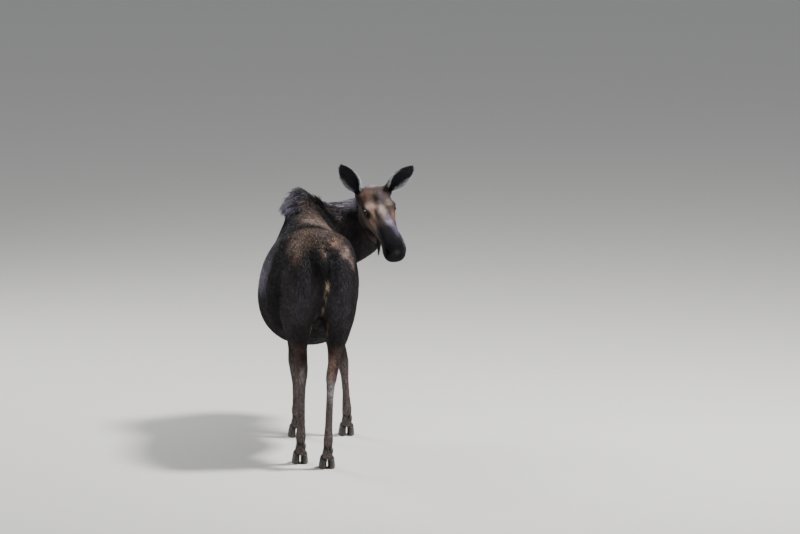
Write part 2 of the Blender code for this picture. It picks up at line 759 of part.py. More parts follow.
def part_leg(trunk, leg):
    """Parts a leg from the trunk in two lengths, and trims its foot at the coronet."""
    pieces = {}
    whole = trunk
    for height, length in zip(LEG_CUTS[leg[:4]], ("upper", "lower")):
        row, side, forward = leg_place(leg, height)
        down = facing(at(side, forward, height), Vector((0, 0, -1)), Vector((0, 1, 0)))
        reach = LEG_CUT_SHARE * row.half_depth
        whole = part_off(whole, leg + "_" + length, down, reach, reach)
        pieces[whole.name] = whole
    drop(part_off(whole, "trimmings", coronet_frame(leg), FOOT_CUT_REACH, FOOT_CUT_REACH))
    return pieces


def part_head(trunk, head):
    """Parts the head from the neck and the jaw from the head, and thins out the rest."""
    cut = facing(at(*HEAD_CUT_PLACE), at(*HEAD_CUT_FACING))
    skull = part_off(trunk, "head", cut, *HEAD_CUT_REACH)
    thin_out(skull, HEAD_TRIANGLES)
    thin_out(trunk, BODY_TRIANGLES)
    trim = slab(cut, *HEAD_CUT_REACH, 3 * GAP)
    boolean(skull, trim)
    boolean(trunk, trim)
    drop(trim)
    for side in ("left", "right"):
        up = ear_frame(head, side) @ Matrix.Rotation(-math.pi / 2, 4, "Y")
        drop(part_off(skull, "trimmings", up, EAR_CUT_REACH, EAR_CUT_REACH))
    mouth = head @ Matrix.Translation(MOUTH_CUT) @ Matrix.Rotation(math.pi / 2, 4, "Y")
    jaw = part_off(skull, "jaw", mouth, MOUTH_CUT_REACH, MOUTH_CUT_REACH)
    return {"head": skull, "jaw": jaw}


def part_body(trunk, head):
    """Parts the fused body into named pieces with flat cuts, and returns them by name."""
    pieces = part_head(trunk, head)
    pieces.update(part_neck(trunk))
    for leg in STANCE:
        pieces.update(part_leg(trunk, leg))
    rear = facing(at(0, RUMP_CUT, 1.2), Vector((0, 1, 0)))
    front = facing(at(0, CHEST_CUT, 1.2), Vector((0, -1, 0)))
    for name, cut in (("hindquarters", rear), ("chest", front)):
        pieces[name] = part_off(trunk, name, cut, TRUNK_CUT_REACH, TRUNK_CUT_REACH)
    trunk.name = "barrel"
    pieces["barrel"] = trunk
    return pieces


def centre_on_floor():
    """Moves all so that the whole stands on the floor about the origin."""
    points = [v.co for obj in bpy.data.objects for v in obj.data.vertices]
    low = [min(p[axis] for p in points) for axis in range(3)]
    high = [max(p[axis] for p in points) for axis in range(3)]
    shift = Matrix.Translation((-(low[0] + high[0]) / 2, -(low[1] + high[1]) / 2, -low[2]))
    for obj in bpy.data.objects:
        obj.data.transform(shift)


def coat_of(name):
    """Which material a piece takes."""
    if name.startswith("eye"):
        return "eye"
    if "claw" in name:
        return "horn"
    if name in ("head", "jaw") or name.startswith("ear"):
        return "face_coat"
    return "leg_coat" if name.endswith("lower") else "dark_coat"


def main():
    for obj in list(bpy.data.objects):
        bpy.data.objects.remove(obj)
    head = head_frame()
    pieces = part_body(body_flesh(head), head)
    for side, mirror in (("left", 1), ("right", -1)):
        ear("ear_" + side, ear_frame(head, side))
        place = (EYE_PLACE[0], mirror * EYE_PLACE[1], EYE_PLACE[2])
        eye = ellipsoid("eye_" + side, head, place, (EYE_RADIUS,) * 3, subdivisions=2)
        nest(pieces["head"], eye)
    for leg in STANCE:
        for inner, mirror in (("left", 1), ("right", -1)):
            claw(leg + "_claw_" + inner, leg, mirror)
            nest(pieces[leg + "_lower"], dewclaw(leg + "_dewclaw_" + inner, leg, mirror))
    nest(pieces["hindquarters"], tail_shape())
    nest(pieces["jaw"], bell_shape(head))
    centre_on_floor()
    for obj in bpy.data.objects:
        paint(obj, coat_of(obj.name))


if __name__ == "__main__":
    main()
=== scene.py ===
"""The looks of a life-size still model of a cow moose who stands and looks back over her side.

One skin is drawn over the solids of the flesh, sculpted about the eyes, nostrils and mouth, and
covered with a coat of small solid locks of hair that follow the lie of the coat. Eyes and hooves
are pieces of their own. Model coordinates are x to her left, y behind her and z up, counted from
the point on the floor under the middle of her buttocks; the head has a frame of its own with x
along the head to the nose, y to its left and z up from the brow. All lengths are metres.
"""

import math
from collections import namedtuple

import bmesh
import bpy
import numpy as np
from bpy.props import FloatProperty, FloatVectorProperty, IntProperty, PointerProperty
from mathutils import Matrix, Vector
from mathutils.bvhtree import BVHTree


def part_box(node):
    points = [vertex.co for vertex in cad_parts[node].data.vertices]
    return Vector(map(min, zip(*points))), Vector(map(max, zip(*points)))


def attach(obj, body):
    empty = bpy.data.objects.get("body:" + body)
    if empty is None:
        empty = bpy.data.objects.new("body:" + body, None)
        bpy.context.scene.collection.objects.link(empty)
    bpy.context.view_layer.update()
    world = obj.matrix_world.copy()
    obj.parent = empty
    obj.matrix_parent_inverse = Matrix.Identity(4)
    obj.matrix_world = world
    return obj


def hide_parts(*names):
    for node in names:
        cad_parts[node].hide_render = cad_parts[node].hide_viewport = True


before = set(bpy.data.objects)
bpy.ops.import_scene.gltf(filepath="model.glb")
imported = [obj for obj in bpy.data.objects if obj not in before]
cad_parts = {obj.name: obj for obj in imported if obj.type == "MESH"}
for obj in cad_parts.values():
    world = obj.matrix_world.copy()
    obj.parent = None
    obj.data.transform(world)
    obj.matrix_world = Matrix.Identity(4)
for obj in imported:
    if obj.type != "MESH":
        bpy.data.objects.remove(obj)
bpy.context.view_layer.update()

bl_info = {
    "name": "Cow moose",
    "version": (1, 0, 0),
    "blender": (4, 5, 0),
    "location": "3D View > Sidebar > Moose",
    "description": "Skin, coat, eyes and hooves of a life-size cow moose",
    "category": "Object",
}

# ---------------------------------------------------------------------------------------
# Places, which repeat the driving sizes of the solids

SKULL = Vector((-0.513, -1.560, 1.656))
HEAD_YAW = math.radians(168)
HEAD_PITCH = math.radians(-29)
HEAD_ROLL = math.radians(5)
EYE_PLACE = (0.205, 0.1055, 0.045)
EAR_ROOT = (0.030, 0.106, 0.086)
EAR_RISE = {"left": (0.00, 0.52, 0.70), "right": (-0.36, 0.44, 0.84)}
EAR_TURN = {"left": math.radians(4), "right": math.radians(34)}
EAR_LENGTH = 0.260
EAR_HALF_WIDTH = 0.070
EAR_ROOT_HALF_WIDTH = 0.032
EAR_WIDEST = 0.42
EAR_SETBACK = 0.035
EAR_TIP_BEND = 0.075
EAR_CURL = tuple(math.radians(a) for a in (150, 60, 42))

# The neck's middle line from the chest to the head, in model coordinates.
NECK_LINE = np.array([
    (0.000, -1.280, 1.290), (-0.040, -1.440, 1.330), (-0.115, -1.600, 1.370),
    (-0.235, -1.705, 1.405), (-0.370, -1.735, 1.450), (-0.475, -1.700, 1.515),
    (-0.515, -1.620, 1.585), (-0.518, -1.530, 1.610),
])

LEGS = ("hind_left", "hind_right", "fore_left", "fore_right")
SIDES = (("left", 1), ("right", -1))

# ---------------------------------------------------------------------------------------
# Regions of the skin: how deep the coat is, how much the skin is smoothed, and the locks

Region = namedtuple("Region", "nodes depth ease spacing length width rise tip stray tone")
REGIONS = (
    Region(("hindquarters",), 0.008, 1.00, 0.0052, 0.044, 0.0054, 0.0035, 0.0055, 0.20, 0.40),
    Region(("barrel",), 0.008, 1.00, 0.0058, 0.044, 0.0058, 0.0030, 0.0045, 0.18, 0.26),
    Region(("chest",), 0.012, 0.90, 0.0056, 0.050, 0.0058, 0.0035, 0.0065, 0.22, 0.30),
    Region(("neck_base", "neck_top"), 0.013, 0.60, 0.0058, 0.056, 0.0058, 0.0038, 0.0075,
           0.24, 0.30),
    Region(("head", "jaw"), 0.003, 0.09, 0.0032, 0.016, 0.0025, 0.0011, 0.0016, 0.22, 0.26),
    Region(("ear_left", "ear_right"), 0.001, 0.02, 0.0042, 0.016, 0.0030, 0.0012, 0.0020,
           0.24, 0.20),
    Region(tuple(leg + "_upper" for leg in LEGS), 0.006, 0.10, 0.0056, 0.028, 0.0046, 0.0022,
           0.0030, 0.20, 0.26),
    Region(tuple(leg + "_lower" for leg in LEGS), 0.004, 0.06, 0.0052, 0.020, 0.0040, 0.0016,
           0.0022, 0.20, 0.24),
    Region(("tail",), 0.006, 0.05, 0.0050, 0.040, 0.0046, 0.0025, 0.0060, 0.28, 0.26),
    Region(("bell",), 0.003, 0.03, 0.0046, 0.036, 0.0040, 0.0020, 0.0045, 0.30, 0.24),
)
TRUNK, NECK, HEAD, EAR, UPPER, LOWER, TAIL, BELL = (0, 1, 2), 3, 4, 5, 6, 7, 8, 9

SKIN_GRAIN = 0.0040
SKIN_PASSES = 190
SKIN_BODY_KEPT = 0.085       # share of the faces that is kept away from the head
SKIN_HEAD_KEPT = 0.40        # and on the ears and the back of the head
SKIN_EASE_PASSES = 14        # how far the regions' ease and depth run into each other
# Painted shade: the skin under the hair is darkened as the shade between the hairs.
SKIN_SHADE_UNDER_HAIR = 0.75             # how much darker the skin is than the hair over it
OVERLAP = 0.0004             # how far neighbouring pieces are swollen so that no gap is left

# The hump and the mane that runs from it, where long locks stand over the coat.
MANE = (
    ((0.040, -1.240, 1.735), (0.080, 0.200, 0.075)),
    ((0.065, -1.420, 1.705), (0.085, 0.170, 0.078)),
    ((0.080, -1.150, 1.665), (0.030, 0.080, 0.045)),
    ((-0.080, -1.600, 1.640), (0.110, 0.110, 0.080)),
    ((-0.260, -1.690, 1.630), (0.130, 0.070, 0.060)),
)
MANE_DEPTH = 0.034           # how much deeper the skin lies under it
MANE_WAY = (1.0, 0.15, -0.10)    # the way its hair falls


# ---------------------------------------------------------------------------------------
# Numbers and colours

def hex_colour(text):
    """Linear red, green and blue of an sRGB hex colour."""
    parts = [int(text[i:i + 2], 16) / 255 for i in (1, 3, 5)]
    return tuple(c / 12.92 if c <= 0.04045 else ((c + 0.055) / 1.055) ** 2.4 for c in parts)


def unit(rows):
    """Rows scaled to length one."""
    return rows / np.maximum(np.linalg.norm(rows, axis=-1, keepdims=True), 1e-9)


def ramp(values, low, high):
    """Smooth step from 0 at low to 1 at high."""
    t = np.clip((values - low) / (high - low), 0.0, 1.0)
    return t * t * (3 - 2 * t)


def blob(points, centre, radii, flat=1.0):
    """Soft mask that is 1 at a centre and fades past the radii, the more sharply if flat."""
    return np.exp(-((((points - np.array(centre)) / np.array(radii)) ** 2).sum(-1)) ** flat)


NOISE_PRIMES = (73856093, 19349663, 83492791)     # mix the three cell numbers
NOISE_SEED_PRIME = 2654435
NOISE_FINISH = 1274126177
NOISE_SEED_STEP = 17.31


def value_noise(points, size, seed):
    """Smooth noise from -1 to 1 with features of the given size."""
    q = points / size + seed * NOISE_SEED_STEP
    cell = np.floor(q).astype(np.int64)
    f = q - cell
    f = f * f * (3 - 2 * f)
    total = np.zeros(len(points))
    for corner in np.ndindex(2, 2, 2):
        c = cell + np.array(corner)
        h = (c[:, 0] * NOISE_PRIMES[0]) ^ (c[:, 1] * NOISE_PRIMES[1]) ^ (c[:, 2] * NOISE_PRIMES[2])
        h = h ^ (seed * NOISE_SEED_PRIME)
        h = (h ^ (h >> 13)) * NOISE_FINISH
        lattice = ((h ^ (h >> 16)) & 0xFFFF) / 32767.5 - 1.0
        weight = np.prod(np.where(np.array(corner) == 1, f, 1 - f), axis=1)
        total += lattice * weight
    return total


# ---------------------------------------------------------------------------------------
# Frames

def head_frame():
    """The head's frame in model coordinates."""
    heading = Vector((-math.sin(HEAD_YAW), -math.cos(HEAD_YAW), 0.0))
    along = heading * math.cos(HEAD_PITCH) + Vector((0, 0, math.sin(HEAD_PITCH)))
    left = Vector((0, 0, 1)).cross(along).normalized()
    frame_ = Matrix((along, left, along.cross(left))).transposed().to_4x4()
    frame_.translation = SKULL
    return frame_ @ Matrix.Rotation(HEAD_ROLL, 4, "X")


def ear_frame(side):
    """An ear's frame in model coordinates: x the way it opens, z up the ear."""
    mirror = 1 if side == "left" else -1
    head = head_frame()
    turn = head.to_3x3()
    back, out, up = EAR_RISE[side]
    rise = (turn @ Vector((back, mirror * out, up))).normalized()
    mouth = turn @ Vector((math.cos(EAR_TURN[side]), mirror * math.sin(EAR_TURN[side]), 0))
    left = rise.cross(mouth).normalized()
    frame_ = Matrix((left.cross(rise), left, rise)).transposed().to_4x4()
    frame_.translation = head @ Vector((EAR_ROOT[0], mirror * EAR_ROOT[1], EAR_ROOT[2]))
    return frame_


def floor_shift():
    """What takes model coordinates to the frame's."""
    low, high = (Vector(corner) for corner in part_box("eye_left"))
    return (low + high) / 2 - head_frame() @ Vector(EYE_PLACE)


SHIFT = np.array(floor_shift())


def local(points, matrix):
    """Points in model coordinates given in a frame's own."""
    inverse = np.array(matrix.inverted())
    return points @ inverse[:3, :3].T + inverse[:3, 3]


# ---------------------------------------------------------------------------------------
# Mesh arrays

def points_of(mesh):
    """A mesh's vertex places as rows."""
    co = np.empty(len(mesh.vertices) * 3, np.float32)
    mesh.vertices.foreach_get("co", co)
    return co.reshape(-1, 3).astype(float)


def normals_of(mesh):
    """A mesh's vertex normals as rows."""
    normals = np.empty(len(mesh.vertices) * 3, np.float32)
    mesh.vertex_normals.foreach_get("vector", normals)
    return normals.reshape(-1, 3).astype(float)


def move_to(mesh, points):
    """Puts a mesh's vertices at new places."""
    mesh.vertices.foreach_set("co", points.astype(np.float32).ravel())
    mesh.update()


def triangles_of(mesh):
    """A mesh's triangles as rows of three vertices."""
    mesh.calc_loop_triangles()
    triangles = np.empty(len(mesh.loop_triangles) * 3, np.int32)
    mesh.loop_triangles.foreach_get("vertices", triangles)
    return triangles.reshape(-1, 3)


def mesh_from(name, points, triangles):
    """A new object with one mesh of triangles, made of arrays."""
    mesh = bpy.data.meshes.new(name)
    mesh.vertices.add(len(points))
    mesh.vertices.foreach_set("co", points.astype(np.float32).ravel())
    mesh.loops.add(triangles.size)
    mesh.loops.foreach_set("vertex_index", triangles.astype(np.int32).ravel())
    mesh.polygons.add(len(triangles))
    mesh.polygons.foreach_set("loop_start", np.arange(len(triangles), dtype=np.int32) * 3)
    mesh.update(calc_edges=True)
    obj = bpy.data.objects.new(name, mesh)
    bpy.context.collection.objects.link(obj)
    return obj


def paint(mesh, name, colours):
    """Gives a mesh a colour attribute with one row of red, green, blue and wetness a vertex."""
    layer = mesh.attributes.new(name, "FLOAT_COLOR", "POINT")
    layer.data.foreach_set("color", colours.astype(np.float32).ravel())


def only(obj):
    """Selects one object alone and makes it active."""
    bpy.ops.object.select_all(action="DESELECT")
    obj.select_set(True)
    bpy.context.view_layer.objects.active = obj


def apply_modifier(obj, kind, **settings):
    """Adds a modifier to an object and applies it."""
    only(obj)
    bpy.ops.object.modifier_add(type=kind)
    modifier = obj.modifiers[-1]
    for key, value in settings.items():
        setattr(modifier, key, value)
    bpy.ops.object.modifier_apply(modifier=modifier.name)


def copy_of_nodes(name, nodes, swell=0.0):
    """One object with merged copies of the named solids, each swollen a little."""
    whole = bmesh.new()
    for node in nodes:
        part = bmesh.new()
        part.from_mesh(bpy.data.objects[node].data)
        bmesh.ops.remove_doubles(part, verts=part.verts, dist=1e-6)
        part.normal_update()
        for vert in part.verts:
            vert.co += vert.normal * swell
        mesh = bpy.data.meshes.new(node)
        part.to_mesh(mesh)
        part.free()
        whole.from_mesh(mesh)
        bpy.data.meshes.remove(mesh)
    mesh = bpy.data.meshes.new(name)
    whole.to_mesh(mesh)
    whole.free()
    obj = bpy.data.objects.new(name, mesh)
    bpy.context.collection.objects.link(obj)
    return obj


# ---------------------------------------------------------------------------------------
# Materials

def add(tree, kind, links=(), **settings):
    """Adds a node, sets its inputs and properties, and links (input, socket) pairs to it."""
    made = tree.nodes.new(kind)
    for key, value in settings.items():
        if key in made.inputs:
            made.inputs[key].default_value = value
        else:
            setattr(made, key, value)
    for name, socket in links:
        tree.links.new(socket, made.inputs[name])
    return made


def new_material(name):
    """An empty node material and its output."""
    material = bpy.data.materials.new(name)
    material.use_nodes = True
    tree = material.node_tree
    tree.nodes.clear()
    return material, tree, tree.nodes.new("ShaderNodeOutputMaterial")


def hide_material():
    """Skin with the roots of the hair: soft, matt, and moist where the nose is bare."""
    material, tree, out = new_material("haired_hide")
    place = add(tree, "ShaderNodeTexCoord").outputs["Object"]
    colour_and_painted_light = add(tree, "ShaderNodeAttribute", attribute_name="colour_and_painted_light")
    # Hair 2 mm wide would not show, so the grain is drawn 5 mm wide.
    grain = add(tree, "ShaderNodeTexNoise", [("Vector", place)], Scale=200.0, Detail=3.0)
    shade = add(tree, "ShaderNodeMapRange", [("Value", grain.outputs["Fac"])])
    shade.inputs["To Min"].default_value = 0.35
    shade.inputs["To Max"].default_value = 0.95
    colour = add(tree, "ShaderNodeVectorMath",
                 [(0, colour_and_painted_light.outputs["Color"]), (1, shade.outputs["Result"])],
                 operation="MULTIPLY")
    rough = add(tree, "ShaderNodeMapRange", [("Value", colour_and_painted_light.outputs["Alpha"])])
    rough.inputs["To Min"].default_value = 0.85
    rough.inputs["To Max"].default_value = 0.45
    bump = add(tree, "ShaderNodeBump", [("Height", grain.outputs["Fac"])],
               Strength=0.7, Distance=0.0015)
    surface = add(tree, "ShaderNodeBsdfPrincipled",
                  [("Base Color", colour.outputs[0]), ("Roughness", rough.outputs["Result"]),
                   ("Normal", bump.outputs["Normal"])])
    surface.inputs["Specular IOR Level"].default_value = 0.25
    tree.links.new(surface.outputs[0], out.inputs["Surface"])
    return material


def hair_material():
    """Guard hair: half matt, with the soft edge light of a dry coat."""
    material, tree, out = new_material("guard_hair")
    colour_and_painted_light = add(tree, "ShaderNodeAttribute", attribute_name="colour_and_painted_light")
    surface = add(tree, "ShaderNodeBsdfPrincipled",
                  [("Base Color", colour_and_painted_light.outputs["Color"])], Roughness=0.55)
    surface.inputs["Specular IOR Level"].default_value = 0.20
    tree.links.new(surface.outputs[0], out.inputs["Surface"])
    return material


def eye_material():
    """The wet, dark eye: a clear cornea over a brown iris."""
    material, tree, out = new_material("wet_eye")
    colour_and_painted_light = add(tree, "ShaderNodeAttribute", attribute_name="colour_and_painted_light")
    surface = add(tree, "ShaderNodeBsdfPrincipled",
                  [("Base Color", colour_and_painted_light.outputs["Color"])], Roughness=0.16)
    surface.inputs["Coat Weight"].default_value = 0.3
    surface.inputs["Coat Roughness"].default_value = 0.10
    tree.links.new(surface.outputs[0], out.inputs["Surface"])
    return material


# Sockets of a mix node set to colours: its two colours, and its result.
MIX_FIRST, MIX_SECOND, MIX_RESULT = 6, 7, 2


def horn_material(dark, worn):
    """Hoof horn: dark, half matt, ringed by growth and scuffed towards the floor."""
    material, tree, out = new_material("hoof_horn")
    place = add(tree, "ShaderNodeTexCoord").outputs["Object"]
    # Growth rings about 9 mm apart down the wall of the claw.
    rings = add(tree, "ShaderNodeTexWave", [("Vector", place)], bands_direction="Z", Scale=11.0,
                Distortion=3.0, Detail=2.0)
    scuff = add(tree, "ShaderNodeTexNoise", [("Vector", place)], Scale=90.0, Detail=4.0)
    height = add(tree, "ShaderNodeSeparateXYZ", [("Vector", place)])
    low = add(tree, "ShaderNodeMapRange", [("Value", height.outputs["Z"])])
    low.inputs["From Max"].default_value = 0.035
    low.inputs["To Min"].default_value = 0.8
    low.inputs["To Max"].default_value = 0.15
    wear = add(tree, "ShaderNodeMath",
               [(0, scuff.outputs["Fac"]), (1, low.outputs["Result"])], operation="MULTIPLY")
    colour = add(tree, "ShaderNodeMix", data_type="RGBA")
    tree.links.new(wear.outputs[0], colour.inputs["Factor"])
    colour.inputs[MIX_FIRST].default_value = (*dark, 1.0)
    colour.inputs[MIX_SECOND].default_value = (*worn, 1.0)
    both = add(tree, "ShaderNodeMath",
               [(0, rings.outputs["Fac"]), (1, scuff.outputs["Fac"])], operation="ADD")
    bump = add(tree, "ShaderNodeBump", [("Height", both.outputs[0])],
               Strength=0.5, Distance=0.0012)
    surface = add(tree, "ShaderNodeBsdfPrincipled",
                  [("Base Color", colour.outputs[MIX_RESULT]), ("Normal", bump.outputs["Normal"])],
                  Roughness=0.5)
    tree.links.new(surface.outputs[0], out.inputs["Surface"])
    return material


def floor_material(colour):
    """Matt paint on a smooth floor."""
    material, tree, out = new_material("studio_floor")
    surface = add(tree, "ShaderNodeBsdfPrincipled", Roughness=0.9)
    surface.inputs["Base Color"].default_value = (*colour, 1.0)
    tree.links.new(surface.outputs[0], out.inputs["Surface"])
    return material


# ---------------------------------------------------------------------------------------
# Markings of skin and coat alike, and the light and shade painted over them

BASE = {
    "body": "#211e20",
    "neck": "#2d2929",
    "face": "#4a3f3b",
    "muzzle": "#1f1c21",
    "ear": "#3d3735",
    "leg": "#2a2423",
    "cannon": "#655b58",
    "tail": "#1b1818",
}
BASE_OF = {0: "body", 1: "body", 2: "body", 3: "neck", 4: "face", 5: "ear", 6: "leg",
           7: "leg", 8: "tail", 9: "neck"}

# Soft patches laid over one another: regions, centre, radii, colour and strength. Some are the
# coat's own colours and some are painted light and shade, as noted above them. The body's tables
# are in model coordinates, and the fine one's outlines wander less. The head's table is in the
# head's frame.
BODY_PATCHES = (
    # Painted sunlight on top of the croup and on the left hip, over hair that is partly
    # sun-bleached.
    ((0, 1, 2), (0.03, -0.32, 1.61), (0.23, 0.22, 0.09), "#5f4d42", 0.95),    # croup
    ((0,), (0.165, -0.25, 1.53), (0.085, 0.11, 0.060), "#8a766b", 0.90),      # left hip
    ((0,), (0.175, -0.15, 1.46), (0.055, 0.09, 0.045), "#5f473d", 0.85),
    # Painted sunlight on the tan hair of the right hip, in these three patches.
    ((0,), (-0.10, -0.20, 1.565), (0.050, 0.09, 0.035), "#8a7161", 0.90),     # right hip
    ((0,), (-0.165, -0.19, 1.500), (0.048, 0.10, 0.045), "#a89085", 1.00),
    ((0,), (-0.210, -0.19, 1.425), (0.035, 0.10, 0.055), "#857068", 0.90),
    ((0,), (-0.010, -0.13, 1.51), (0.022, 0.07, 0.060), "#6b5850", 0.90),     # middle of the rump
    # Painted shade in the hollows on each side of the middle of the rump.
    ((0,), (0.072, -0.09, 1.465), (0.038, 0.08, 0.050), "#151314", 0.95),     # beside it
    ((0,), (-0.085, -0.11, 1.465), (0.036, 0.08, 0.042), "#1a181e", 0.95),
    # Painted reflection of the sky along the top of the croup.
    ((0,), (-0.02, -0.25, 1.610), (0.070, 0.06, 0.014), "#5d5058", 0.70),
    ((0, 8), (-0.02, -0.05, 1.415), (0.032, 0.10, 0.060), "#191617", 0.90),   # tail
    # Painted bluish sheen on the dark hair of the thighs, and painted light along the edge of the
    # left thigh.
    ((0,), (0.15, -0.06, 1.25), (0.100, 0.12, 0.24), "#38363b", 0.80),        # thighs
    ((0,), (-0.13, -0.04, 1.22), (0.100, 0.12, 0.26), "#3a373d", 0.80),
    ((0,), (0.235, -0.22, 1.20), (0.035, 0.14, 0.28), "#413c3d", 0.85),
    ((0, 1), (0.03, -0.64, 1.57), (0.18, 0.20, 0.06), "#41372f", 0.80),       # loin
    # Painted sunlight on the withers, over hair that is partly sun-bleached.
    ((1, 2), (-0.05, -1.02, 1.60), (0.125, 0.15, 0.10), "#6b5a50", 0.95),     # withers
    ((1,), (-0.06, -0.985, 1.585), (0.100, 0.040, 0.050), "#8c7b71", 0.95),
    ((1, 2), (-0.13, -1.01, 1.555), (0.045, 0.09, 0.055), "#78675e", 0.90),
    # Painted shadow in the dip of the back behind the croup.
    ((1,), (0.03, -0.885, 1.560), (0.26, 0.058, 0.09), "#0c0a0b", 1.30),      # behind the croup
    ((2,), (-0.045, -1.17, 1.668), (0.055, 0.08, 0.050), "#4d4038", 0.90),
    # Painted shade on the left side of the withers and hump, away from the light.
    ((1, 2), (0.105, -1.05, 1.570), (0.040, 0.13, 0.080), "#131218", 0.97),   # left of them
    ((2,), (0.072, -1.16, 1.630), (0.028, 0.08, 0.060), "#1e1d24", 0.90),
    # Grey hair of the hump with a painted lilac reflection of the sky.
    ((2, 3), (0.08, -1.33, 1.70), (0.090, 0.20, 0.10), "#6f6978", 0.95),      # hump
    ((2, 3), (-0.09, -1.40, 1.64), (0.055, 0.22, 0.10), "#2a2220", 0.90),     # right of it
    ((3,), (-0.19, -1.62, 1.63), (0.060, 0.09, 0.05), "#43352d", 0.80),
    # Pale hair of the mane on the neck, with a painted lilac sheen of sunlight.
    ((3,), (-0.34, -1.68, 1.615), (0.125, 0.10, 0.036), "#958e9b", 0.95),     # mane on the neck
    ((3,), (-0.29, -1.58, 1.51), (0.12, 0.12, 0.08), "#4a4344", 0.85),        # side of the neck
    ((3,), (-0.42, -1.58, 1.45), (0.06, 0.12, 0.10), "#211e1f", 0.90),
    ((3, 9), (-0.42, -1.62, 1.28), (0.22, 0.20, 0.12), "#131112", 0.95),      # throat
    # Painted reflection of the sky in a lilac strip along the left flank.
    ((1, 2), (0.270, -0.95, 1.450), (0.090, 0.42, 0.090), "#544f57", 0.90),   # left flank
    ((1, 2), (0.330, -0.85, 1.360), (0.060, 0.42, 0.160), "#736e7a", 1.00),
    ((1,), (0.362, -0.78, 1.300), (0.034, 0.34, 0.150), "#8f8896", 0.90),
    # Painted shadow in the hollow between the barrel and the left thigh.
    ((0, 1), (0.275, -0.50, 1.40), (0.030, 0.14, 0.10), "#0b0a0b", 0.95),     # before the thigh
    ((0, 1), (0.305, -0.44, 1.20), (0.040, 0.14, 0.17), "#0b0a0b", 0.95),
    ((0, 1), (0.280, -0.48, 0.97), (0.050, 0.14, 0.14), "#0d0c0c", 0.92),
    ((0, 1, 2), (0.00, -0.80, 0.76), (0.36, 0.70, 0.14), "#131112", 0.92),    # belly
    # Painted shade deep between the thighs.
    ((0, 1, 6), (0.002, -0.34, 0.92), (0.040, 0.22, 0.10), "#0b0a0a", 0.97),  # between the thighs
    ((6, 7), (0.16, -0.17, 0.79), (0.10, 0.14, 0.11), "#4a3730", 0.90),       # gaskins
    ((6, 7), (-0.08, -0.08, 0.80), (0.10, 0.14, 0.12), "#503d36", 0.90),
)
FINE_PATCHES = (
    ((0, 8), (-0.031, -0.06, 1.300), (0.014, 0.06, 0.032), "#bda68b", 1.10),  # under the tail
    ((0,), (-0.022, -0.08, 1.215), (0.005, 0.06, 0.055), "#7d6b5a", 1.10),
    ((0,), (-0.009, -0.13, 1.110), (0.007, 0.06, 0.040), "#a38c74", 1.20),
    ((0,), (0.022, -0.19, 1.025), (0.007, 0.08, 0.055), "#7d675c", 1.20),     # inner thighs
    ((0, 6), (0.052, -0.25, 0.940), (0.009, 0.10, 0.075), "#80665b", 1.20),
    ((0, 6), (-0.044, -0.13, 0.950), (0.006, 0.10, 0.090), "#5e4d46", 1.00),
    ((6, 7), (0.142, -0.13, 0.60), (0.030, 0.060, 0.090), "#b0a7a6", 0.95),   # back of the hocks
    ((6, 7), (-0.055, -0.01, 0.56), (0.034, 0.070, 0.080), "#bdb6b5", 0.95),
    ((6, 7), (-0.055, -0.03, 0.72), (0.028, 0.060, 0.090), "#94786d", 0.85),
)
